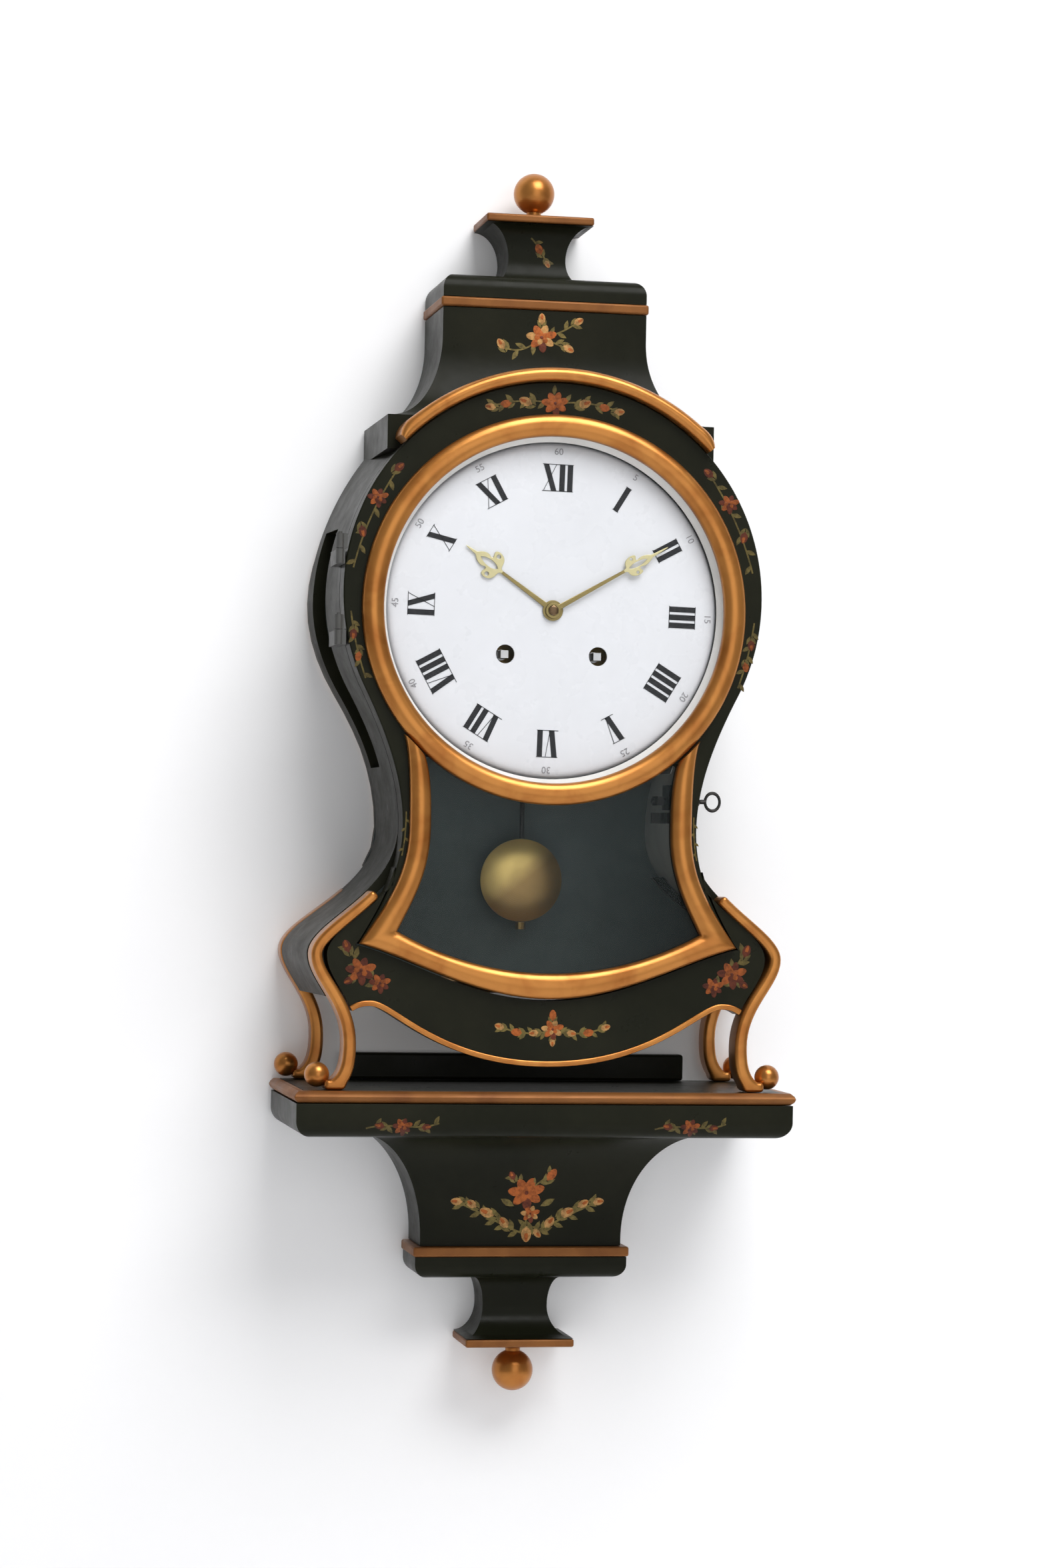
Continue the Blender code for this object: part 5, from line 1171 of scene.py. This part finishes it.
LEAF_FOOT = -9.0            # where a hand's leaf begins, millimetres from its middle


def hand_shape(long, bore, leaf, wide):
    """Loops of a pierced hand that points up: boss, tapered stem, scrolled leaf and tip."""
    boss, root, stem = bore + 0.0016, 0.0014, 0.0008
    start = math.degrees(math.acos(root / boss))

    def on_leaf(*points):
        """Points from (share of the leaf's width, millimetres from its middle)."""
        return [(share * wide, leaf + MM * up) for share, up in points]

    thin = stem / wide
    right = on_leaf((thin, LEAF_FOOT))
    for *handles, count in (((thin, -6.0), (0.50, -7.8), (0.80, -5.8), 6),
                            ((1.10, -3.6), (1.06, 1.2), (0.74, 0.6), 8),
                            ((0.55, 0.2), (0.40, -1.0), (0.38, 1.0), 6),
                            ((0.62, 3.8), (0.36, 6.8), (1.1 * thin, 8.8), 8)):
        right += bezier(right[-1], *on_leaf(*handles), count)
    right.append((0.4 * stem, long - 0.001))
    outline = arc((0, 0), boss, 180 - start, 360 + start, 32)
    outline += right + [(0.0, long)] + [(-x, z) for x, z in reversed(right)]
    foot, low, up, head = on_leaf((0.0, -5.8), (0.34, -4.0), (0.30, 3.0), (0.0, 5.8))
    eye = bezier(foot, low, up, head, 10)[:-1]
    pierced = [foot] + eye + [head] + [(-x, z) for x, z in reversed(eye)]
    scrolls = [arc(on_leaf((share, -2.4))[0], 0.15 * wide, 0, 330, 11) for share in (-0.72, 0.72)]
    return [outline, arc((0, 0), bore, 0, 345, 23), pierced, *scrolls]


class CLOCK_OT_hands(bpy.types.Operator):
    """Pierced gilt hands at ten past ten and their nut"""

    bl_idname = "clock.hands"
    bl_label = "Hands"

    def execute(self, context):
        for node, body, long, bore, leaf, wide, turn in (
                ("hour_hand", "hour_work", 0.060, 0.0041, 0.0440, 0.0080, 305.0),
                ("minute_hand", "minute_work", 0.074, 0.0027, 0.0545, 0.0056, 60.0)):
            low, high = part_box(node)
            bm = board(hand_shape(long, bore, leaf, wide), high.y, low.y)
            leaf_foot = DIAL_Z + leaf + MM * LEAF_FOOT
            for face in bm.faces:
                face.material_index = 1 if face.calc_center_median().z > leaf_foot else 0
            finished(node + "_pierced", rotated(bm, turn, "Y", (0, 0, DIAL_Z)), [hand_gilt(), hand_pale()],
                     body, [node], "hand_gilt", ease=0.0002)
        low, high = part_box("hand_nut")
        sections = ((0.0, 0.0), (1.0, 0.0), (1.0, 0.35), (0.82, 0.8), (0.5, 1.0), (0.0, 1.0))
        profile = [(out * high.x, high.y - front * (high.y - low.y)) for out, front in sections]
        finished("hand_nut_turned", turned(profile, (0, 0, DIAL_Z), "Y", 6), [hand_brown()], "minute_work",
                 ["hand_nut"], "hand_gilt", ease=0.0003)
        return {"FINISHED"}


def bob_profile(radius, bulge, middle, steps=24, edge=0.16):
    """Section of a lens with a flat edge, as deep at its edge as a share of its bulge."""
    shares = [k / steps for k in range(steps - 1)]
    face = [(radius * share, bulge * (edge + (1 - edge) * (1 - share ** 3))) for share in shares]
    face.append((radius, edge * bulge))
    return [(r, middle - d) for r, d in face] + [(r, middle + d) for r, d in reversed(face)]


def key_shape(start, end):
    """A key along X from a start to an end: shank with a collar, and an oval bow."""
    bow, wire, shank, oval = 0.0050, 0.0008, 0.0016, 1.18
    collar, thin, neck = 1.7 * shank, 0.8 * shank, end - 2 * bow
    profile = [(0.0, start), (shank, start), (shank, neck - 0.006), (collar, neck - 0.0055),
               (collar, neck - 0.004), (thin, neck - 0.003), (thin, neck), (0.0, neck)]
    section = [(bow - wire + wire * x, wire * y) for x, y in arc((0, 0), 1.0, 0, 330, 11)]
    ring = turned(section, (neck + bow - wire, 0, 0), "Y", 48)
    bmesh.ops.scale(ring, verts=ring.verts, vec=(1, 1, oval))
    return added(rotated(turned(profile, (0, 0, 0), "Z", 32), 90, "Y"), ring)


class CLOCK_OT_pendulum(bpy.types.Operator):
    """Lens-shaped brass bob, and the key in the right side"""

    bl_idname = "clock.pendulum"
    bl_label = "Pendulum and key"

    def execute(self, context):
        low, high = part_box("pendulum_bob")
        middle, half = 0.5 * (low + high), 0.5 * (high - low)
        centre = (middle.x, 0, middle.z)
        bob = turned(bob_profile(half.x, half.y, middle.y), centre, "Y", 96)
        finished("bob", bob, [bob_brass(centre, half.x)], "pendulum", ["pendulum_bob"], "brass", flat=40.0)
        low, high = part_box("key")
        middle, key = 0.5 * (low + high), key_shape(low.x, high.x)
        bmesh.ops.translate(key, verts=key.verts, vec=(0, middle.y, middle.z))
        finished("key_iron", key, [iron()], "key", ["key"], "steel", flat=50.0)
        return {"FINISHED"}


# Wall bracket

SHELF_CORE = 0.0063         # how far the shelf draws in behind its bead


def shelf_levels():
    s = sizes()
    half, deep, low, high = span("bracket_shelf")
    bead_half, bead_deep, bead_low, _ = span("shelf_bead")
    under, core = bead_low - GAP, (bead_half - SHELF_CORE, bead_deep - SHELF_CORE)
    levels = swelling((low + s.shelf_round, half, deep), low, s.shelf_round)[::-1]
    return levels + [(under, half, deep), (under, *core), (high, *core)]


def bracket_levels():
    s = sizes()
    half, deep, low, high = span("bracket_body")
    foot, straight = (s.cavetto_half, s.cavetto_deep), 0.004
    return [(low, *foot)] + hollow((low + straight, *foot), (high, half, deep), 36)


def block_levels():
    half, deep, low, high = span("bracket_block")
    tall = high - low
    rounded = swelling((high - UPRIGHT * tall, half, deep), low, (1 - UPRIGHT) * tall)
    return rounded[::-1] + [(high, half, deep)]


def pendant_levels():
    s = sizes()
    half, deep, low, high = span("pendant_neck")
    waist = (0.5 * (low + high), s.pendant_half, s.pendant_deep)
    flare = 0.3 * (half - s.pendant_half) + 0.003
    levels = hollow(waist, (low, half, deep), 24)[::-1]
    return levels + hollow(waist, (high, s.pendant_half + flare, s.pendant_deep + flare), 12)[1:]


class CLOCK_OT_bracket(bpy.types.Operator):
    """Wall bracket: shelf with a gilt bead, hollow body, gilt lines, pendant and ball"""

    bl_idname = "clock.bracket"
    bl_label = "Bracket"

    def execute(self, context):
        finished("shelf_edge", merged_copy("shelf_bead"), [bronze_line()], "case", ["shelf_bead"], "gilt",
                 ease=0.0004, flat=GILT_FLAT)
        for node, levels in (("bracket_shelf", shelf_levels()), ("bracket_body", bracket_levels()),
                             ("bracket_block", block_levels()), ("pendant_neck", pendant_levels())):
            lacquered(node + "_panel", stack(levels), [node], ease=0.0006)
        gilt_lines("bracket_line", "pendant_cap")
        gilt_ball("pendant_ball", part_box("pendant_ball")[1].z, -1)
        return {"FINISHED"}


class CLOCK_OT_plain_nodes(bpy.types.Operator):
    """Finishes on the CAD nodes that show as they are"""

    bl_idname = "clock.plain_nodes"
    bl_label = "Movement and boards"

    def execute(self, context):
        by_slot = {"lacquer": lacquer(), "gilt": gilt(), "pine": pine(), "enamel": enamel(), "brass": brass(),
                   "hand_gilt": hand_gilt(), "steel": iron(), "glass": glass("window_pane", 0.12)}
        by_node = {"dial_glass": glass("dial_pane", 0.04), "lock_box": iron(), "door_catch": iron(),
                   "going_winding_arbor": steel(), "strike_winding_arbor": steel()}
        for part in frame["record"]["subparts"]:
            node = part["node"]
            plain = pewter() if node.endswith("_hinge") else by_slot[part["material_slot"]]
            mesh = frame["nodes"][node].data
            mesh.materials.clear()
            mesh.materials.append(by_node.get(node, plain))
        return {"FINISHED"}


# Painted sprays, in millimetres from an origin on the surface

PAINT_LIFT = 0.00005        # least height of a dab's edge over the lacquer
STEM_LIFT = 0.00018
STEM_WIDE = 0.9             # millimetres
LOW, MIDDLE = 0.0002, 0.0003     # heights of leaves and of petals


def face_of(levels):
    """Depth of a moulding's front by height from the dial's centre."""
    def depth(z):
        height = DIAL_Z + z
        for (za, _, da), (zb, _, db) in zip(levels, levels[1:]):
            if min(za, zb) <= height <= max(za, zb) and abs(zb - za) > 1e-9:
                return -(da + (db - da) * (height - za) / (zb - za))
        return -levels[-1][2]
    return depth


class Brush:
    """Lays dabs of paint on a surface, each a low mound of one colour."""

    CORAL, CREAM, CRIMSON, LEAF = range(4)

    def __init__(self, depth):
        self.bm = bmesh.new()
        self.depth = depth
        self.at(0.0, 0.0)

    def at(self, x, z, side=1):
        """Start from a place in metres from the dial's centre, turned over for a side of -1."""
        self.x, self.z, self.side = x, z, side

    def place(self, point):
        return self.x + self.side * MM * point[0], self.z + MM * point[1]

    def tinted(self, verts, colour):
        for face in {f for v in verts for f in v.link_faces}:
            face.material_index = colour

    def dab(self, x, z, long, wide, lean, colour, height=MIDDLE, pointed=0.0):
        """An oval dab, its long side leaning from upright in degrees, drawn to a point if asked."""
        verts = bmesh.ops.create_circle(self.bm, cap_ends=True, cap_tris=True, segments=12,
                                        radius=1.0)["verts"]
        for vert in verts:
            taper = 1 - pointed * abs(vert.co.y) ** 2
            vert.co = (0.5 * wide * vert.co.x * taper, 0, 0.5 * long * vert.co.y)
        turn = Matrix.Rotation(math.radians(lean), 3, "Y")
        bmesh.ops.rotate(self.bm, verts=verts, cent=(0, 0, 0), matrix=turn)
        bmesh.ops.translate(self.bm, verts=verts, vec=(x, 0, z))
        middle = Vector((x, 0, z))
        reach = max((v.co - middle).length for v in verts)
        for vert in verts:
            share = 1 - (vert.co - middle).length / reach
            vert.co.y = self.depth(vert.co.z) - PAINT_LIFT - height * (0.35 + 0.65 * share)
            vert.co.z += DIAL_Z
        self.tinted(verts, colour)

    def blade(self, x, z, long, lean):
        self.dab(x, z, long, 0.42 * long, lean, self.LEAF, LOW, 0.85)

    def leaf(self, point, long, lean):
        """A single leaf with its middle at a point."""
        self.blade(*self.place(point), MM * long, self.side * lean)

    def bud(self, point, size, lean, colour=CREAM):
        """A half-open bud with two leaflets at its foot."""
        (x, z), size, lean = self.place(point), MM * size, self.side * lean
        turn = math.radians(lean)
        along, foot = (math.sin(turn), math.cos(turn)), -0.45 * size
        for side in (-1, 1):
            out = 0.22 * side * size
            self.dab(x + foot * along[0] + out * along[1], z + foot * along[1] - out * along[0],
                     0.8 * size, 0.3 * size, lean + 28 * side, self.LEAF, LOW, 0.8)
        self.dab(x, z, size, 0.64 * size, lean, colour, MIDDLE, 0.2)
        self.dab(x + 0.12 * size * along[0], z + 0.12 * size * along[1], 0.7 * size, 0.26 * size, lean,
                 self.CORAL, 0.0004, 0.5)

    def rose(self, point, size, outer=CREAM, inner=CORAL):
        """An open blossom: seven narrow outer petals, five inner ones and a dark heart."""
        (x, z), size, step = self.place(point), MM * size, 0.00003
        for k, tin in enumerate((outer, inner, outer, self.CRIMSON, inner, outer, inner)):
            lean = 360 * k / 7 + 20
            turn, reach = math.radians(lean), (0.36 if k % 2 else 0.30) * size
            self.dab(x + reach * math.sin(turn), z + 0.92 * reach * math.cos(turn), 0.44 * size, 0.29 * size,
                     lean, tin, MIDDLE + step * k, 0.25)
        for k in range(5):
            lean = 72 * k - 15
            turn = math.radians(lean)
            self.dab(x + 0.15 * size * math.sin(turn), z + 0.14 * size * math.cos(turn), 0.28 * size,
                     0.20 * size, lean, outer if k == 3 else inner, 2 * MIDDLE + step * k, 0.2)
        self.dab(x, z, 0.15 * size, 0.13 * size, 0, self.CRIMSON, 3 * MIDDLE)

    def stem(self, points, leaves=0, long=6.0, wide=STEM_WIDE):
        """A stem along a curve through its ends and handles, with leaves in turn on either side."""
        ends, long, half = [self.place(p) for p in points], MM * long, 0.5 * MM * wide
        line = [ends[0]] + bezier(*ends, 14)
        verts = [self.bm.verts.new((x, 0, z)) for x, z in offset(line, half) + offset(line, -half)[::-1]]
        count = len(line)
        for k in range(count - 1):
            self.bm.faces.new((verts[k], verts[k + 1], verts[-k - 2], verts[-k - 1]))
        for vert in verts:
            vert.co.y = self.depth(vert.co.z) - STEM_LIFT
            vert.co.z += DIAL_Z
        self.tinted(verts, self.LEAF)
        for k in range(leaves):
            at = 1 + round((k + 0.5) * (count - 2) / leaves)
            here, near = Vector(line[at]), Vector(line[at - 1])
            along = (here - near).normalized()
            heading = math.degrees(math.atan2(along.x, along.y)) + (48 if k % 2 else -48)
            turn = math.radians(heading)
            self.blade(here.x + 0.45 * long * math.sin(turn), here.y + 0.45 * long * math.cos(turn), long,
                       heading)

    def done(self, name, body, aged=1.0):
        """Make the dabs a piece on a body, its paints darkened with age by a share."""
        c = colours()
        tins = (("coral", c.coral), ("cream", c.cream), ("crimson", c.crimson), ("leaf", c.leaf))
        bmesh.ops.recalc_face_normals(self.bm, faces=self.bm.faces)
        bmesh.ops.reverse_faces(self.bm, faces=[f for f in self.bm.faces if f.normal.y > 0])
        piece = linked(name, self.bm, [paint(f"{label}_paint_{round(100 * aged)}", shaded(tin, aged))
                                       for label, tin in tins])
        piece.data.shade_smooth()
        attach(piece, body)


def tower_spray():
    brush = Brush(face_of(roof_levels()))
    brush.at(-0.002, 0.155)
    brush.stem([(0, 0), (-7, -6), (-13, -10), (-22, -6)], 4, 7.0)
    brush.stem([(0, 0), (8, 2), (13, 4), (21, 10)], 4)
    brush.stem([(0, 0), (6, -2), (10, -4), (15, -6)], 1)
    brush.rose((0, 0), 15.5)
    for point, size, lean in (((0, 10.5), 6.5, 0), ((21, 10), 6.2, 62), ((15.5, -5.5), 6.8, 118),
                              ((-23, -4.5), 6.8, -32)):
        brush.bud(point, size, lean)
    brush.done("tower_spray", "case")


def neck_spray():
    brush = Brush(face_of(crown_levels()))
    brush.at(0.002, 0.207)
    brush.stem([(-6, 8), (-2, 5), (1, 0), (5, -8)], 3, 5.0)
    brush.bud((-1, 2), 6.6, -28, brush.CORAL)
    brush.bud((4, -6), 4.8, 152)
    brush.done("neck_spray", "case", 0.55)


def door_sprays():
    brush = Brush(lambda z: FRONT)
    x, z = -0.002, 0.1132
    for side in (-1, 1):
        brush.at(x, z, side)
        brush.stem([(0, 0), (13, 2), (24, 1), (36, -3)], 6, 6.2)
        brush.bud((16.5, 0.5), 7.8, 70)
        brush.bud((27.5, -1.2), 6.6, 100, brush.CORAL)
        brush.bud((36, -3.2), 6.2, 84)
    brush.at(x, z)
    brush.rose((0, 0), 13.5, brush.CORAL, brush.CORAL)
    brush.leaf((-0.5, 7.5), 6.0, 4)
    ring = (0.0, 0.5 * DRUM_UP / MM), (0.5 * (BEZEL_R + DRUM_R) + 0.001) / MM
    for side, high, low in ((-1, 141, 172), (1, 139, 170)):
        brush.at(0.0, 0.0, -side)
        path = arc(*ring, high, low, 3)
        brush.stem(path, 6, 6.2)
        brush.rose(path[1], 10.5, brush.CRIMSON)
        brush.bud(path[0], 6.8, 52, brush.CRIMSON)
        brush.bud(path[2], 6.8, 168, brush.CRIMSON)
        trail = arc(*ring, 184, 203, 3)
        brush.stem(trail, 5, 5.5)
        brush.bud(trail[1], 6.4, 184, brush.CRIMSON)
        brush.bud(trail[2], 5.6, 190, brush.CORAL)
        brush.at(side * (sizes().waist_half - 0.0017), -0.112, side)
        brush.stem([(0, 0), (0, -6), (0, -14), (2, -24)], 4, 3.4, 0.7)
    brush.done("door_sprays", "door", 0.58)


def corner_sprays():
    brush = Brush(lambda z: FRONT)
    for side in (-1, 1):
        brush.at(side * 0.1035, -0.1985, side)
        brush.stem([(-12, -9), (-4, -4), (0, 0), (8, 14)], 7, 7.2)
        brush.rose((0, 0), 15.0, brush.CRIMSON)
        brush.rose((-10.5, -6.8), 10.8, brush.CRIMSON)
        brush.bud((8, 13), 7.4, 20, brush.CRIMSON)
        brush.bud((6.5, -5.5), 6.2, 120, brush.CRIMSON)
    brush.done("corner_sprays", "case", 0.55)


def apron_spray():
    brush = Brush(lambda z: FRONT)
    x, z = 0.003, -0.2290
    for side in (-1, 1):
        brush.at(x, z, side)
        brush.stem([(0, -1), (10, -4), (20, -3), (30, 1)], 5, 5.2)
        brush.bud((10.5, -2.6), 5.8, 96)
        brush.bud((20, -2.2), 6.6, 84, brush.CORAL)
        brush.bud((29.5, 0.8), 5.8, 72)
    brush.rose((0, -0.5), 11.2)
    brush.bud((0, 7.2), 6.2, 0, brush.CORAL)
    brush.bud((0, -7.5), 5.0, 180)
    brush.done("apron_spray", "case", 0.78)


def shelf_sprays():
    brush = Brush(face_of(shelf_levels()))
    z = span("shelf_bead")[2] - DIAL_Z - 0.0125
    for side in (-1, 1):
        brush.at(side * 0.0800, z)
        brush.stem([(-20, -1), (-8, 3), (8, -3), (20, 2)], 7, 5.8)
        brush.rose((0, 0), 9.8, brush.CRIMSON)
        brush.bud((-12.5, 0.5), 6.0, -80, brush.CRIMSON)
        brush.bud((13, -0.2), 5.6, 84, brush.CRIMSON)
    brush.done("shelf_sprays", "case", 0.55)


def bracket_spray():
    brush = Brush(face_of(bracket_levels()))
    x, z, thick = 0.003, -0.3330, 1.1
    for side in (-1, 1):
        brush.at(x, z, side)
        brush.stem([(0, -15), (12, -12), (22, -4), (41, 3.5)], 9, 6.8, thick)
        for point, size, lean in (((13, -8.5), 7.8, 40), ((23, -2.8), 8.8, 66), ((32, 2.2), 7.0, 58),
                                  ((40.5, 3.6), 7.0, 86)):
            brush.bud(point, size, lean)
        brush.leaf((11.5, 3), 9.0, 62)
    brush.stem([(0, -15), (-1, -8), (0, 0), (0, 10)], 3, wide=thick)
    brush.stem([(0, 10), (4, 13), (8, 16), (13, 21)], 3)
    brush.stem([(0, 10), (-4, 13), (-6, 15), (-10, 19)], 3)
    brush.rose((-1, 8.5), 18.5, brush.CORAL, brush.CORAL)
    brush.rose((2, -3.5), 9.8)
    brush.bud((12.5, 19), 8.0, 32, brush.CORAL)
    brush.bud((-10, 18.5), 5.8, -30, brush.CRIMSON)
    brush.bud((0, -15), 9.2, 180)
    brush.bud((6.2, -14.5), 6.0, 140)
    brush.done("bracket_spray", "case")


class CLOCK_OT_sprays(bpy.types.Operator):
    """Painted sprays of blossoms, buds and leaves"""

    bl_idname = "clock.sprays"
    bl_label = "Sprays"

    def execute(self, context):
        for paint_spray in (tower_spray, neck_spray, door_sprays, corner_sprays, apron_spray, shelf_sprays,
                            bracket_spray):
            paint_spray()
        return {"FINISHED"}


# Stage

WHITENING = 0.07            # added to the backdrop where the camera sees it
SHEET_WIDE = 12.0
ROOM_LIGHT = 0.285
MIDDLE_OF_CLOCK = (0.0, -0.05, 0.24)
CAMERA_AT, CAMERA_LENS = (-0.3985, -2.0704, 0.1940), 84.18
CAMERA_AZIMUTH, CAMERA_UP, CAMERA_ROLL = (math.radians(x) for x in (11.0, 1.01, 1.07))


def backdrop():
    """Plain backdrop that is clear from behind and to the lamps, so the clock's back stays lit."""
    def make(name):
        material = bpy.data.materials.new(name)
        material.use_nodes = True
        tree = material.node_tree
        tree.nodes.clear()

        def maths(operation, first, second):
            return new_node(tree, "Math", {0: first, 1: second}, operation=operation)["Value"]

        ray = new_node(tree, "LightPath", {})
        behind = new_node(tree, "NewGeometry", {})["Backfacing"]
        mirrors = maths("MAXIMUM", ray["Is Glossy Ray"], ray["Is Transmission Ray"])
        glow = maths("MULTIPLY", maths("MAXIMUM", ray["Is Camera Ray"], mirrors), WHITENING)
        wall = new_node(tree, "BsdfDiffuse", {"Color": (*colours().backdrop, 1.0)})["BSDF"]
        whitened = new_node(tree, "AddShader", {
            0: wall, 1: new_node(tree, "Emission", {"Strength": glow})["Emission"]})["Shader"]
        surface_seen = new_node(tree, "MixShader", {
            "Fac": maths("MAXIMUM", behind, ray["Is Shadow Ray"]), 1: whitened,
            2: new_node(tree, "BsdfTransparent", {})["BSDF"]})["Shader"]
        new_node(tree, "OutputMaterial", {"Surface": surface_seen})
        return material
    return known("white_backdrop", make)


def sheet(name, turn, place):
    """One large flat sheet of the backdrop."""
    bm = bmesh.new()
    bmesh.ops.create_grid(bm, x_segments=1, y_segments=1, size=0.5 * SHEET_WIDE)
    bmesh.ops.translate(rotated(bm, turn, "X"), verts=bm.verts, vec=place)
    linked(name, bm, [backdrop()])


def lamp(name, place, watts, size):
    """A soft square lamp aimed at the clock."""
    data = bpy.data.lights.new(name, "AREA")
    data.energy = watts
    data.shape = "SQUARE"
    data.size = size
    piece = linked(name, data)
    aim = (Vector(MIDDLE_OF_CLOCK) - Vector(place)).to_track_quat("-Z", "Y")
    piece.matrix_world = Matrix.LocRotScale(Vector(place), aim, None)


def picture_camera():
    """The camera of the picture, a little to the left of the clock and slightly rolled."""
    level = math.cos(CAMERA_UP)
    forward = Vector((math.sin(CAMERA_AZIMUTH) * level, math.cos(CAMERA_AZIMUTH) * level,
                      math.sin(CAMERA_UP)))
    side = forward.cross(Vector((0, 0, 1))).normalized()
    up = side.cross(forward)
    cos, sin = math.cos(CAMERA_ROLL), math.sin(CAMERA_ROLL)
    turn = Matrix((cos * side + sin * up, cos * up - sin * side, -forward)).transposed().to_4x4()
    data = bpy.data.cameras.new("camera")
    data.lens = CAMERA_LENS
    camera = linked("camera", data)
    camera.matrix_world = Matrix.Translation(CAMERA_AT) @ turn
    return camera


class CLOCK_OT_stage(bpy.types.Operator):
    """White wall and floor, soft lamps and the camera of the picture"""

    bl_idname = "clock.stage"
    bl_label = "Stage"

    def execute(self, context):
        scene = bpy.context.scene
        sheet("wall", 90, (0, 0.0015, 1.2))
        sheet("floor", 0, (0, -5.9, -0.62))
        lamp("key_lamp", (0.50, -1.60, 2.20), 66.0, 1.5)
        lamp("fill_lamp", (0.30, -2.8, 0.45), 10.0, 1.6)
        lamp("back_lamp", (0.3, 2.2, 1.4), 26.0, 1.8)
        scene.world = bpy.data.worlds.new("pale_room")
        scene.world.use_nodes = True
        tree = scene.world.node_tree
        feed(tree, tree.nodes["Background"], {"Color": (1.0, 1.0, 1.0, 1.0), "Strength": ROOM_LIGHT})
        scene.camera = picture_camera()
        scene.view_settings.view_transform = "Standard"
        return {"FINISHED"}


PIECES = (CLOCK_OT_roof, CLOCK_OT_crown, CLOCK_OT_sides, CLOCK_OT_apron, CLOCK_OT_legs, CLOCK_OT_door,
          CLOCK_OT_mouldings, CLOCK_OT_dial, CLOCK_OT_numerals, CLOCK_OT_hands, CLOCK_OT_pendulum,
          CLOCK_OT_bracket, CLOCK_OT_sprays, CLOCK_OT_plain_nodes, CLOCK_OT_stage)


class CLOCK_PT_pieces(bpy.types.Panel):
    """Buttons for the clock's pieces"""

    bl_idname = "CLOCK_PT_pieces"
    bl_label = "Painted Bracket Clock"
    bl_space_type = "VIEW_3D"
    bl_region_type = "UI"
    bl_category = "Clock"

    def draw(self, context):
        column = self.layout.column(align=True)
        for piece in PIECES:
            column.operator(piece.bl_idname)
        settings = context.scene.bracket_clock
        for group in (settings.sizes, settings.colours):
            box = self.layout.box()
            for key in group.__annotations__:
                box.prop(group, key)


CLASSES = (ClockSizes, ClockColours, ClockSettings, *PIECES, CLOCK_PT_pieces)


def register():
    for each in CLASSES:
        bpy.utils.register_class(each)
    bpy.types.Scene.bracket_clock = PointerProperty(type=ClockSettings)


def unregister():
    del bpy.types.Scene.bracket_clock
    for each in reversed(CLASSES):
        bpy.utils.unregister_class(each)


def main():
    register()
    for piece in PIECES:
        group, name = piece.bl_idname.split(".")
        getattr(getattr(bpy.ops, group), name)()
    bpy.context.view_layer.update()


if __name__ == "__main__":
    main()
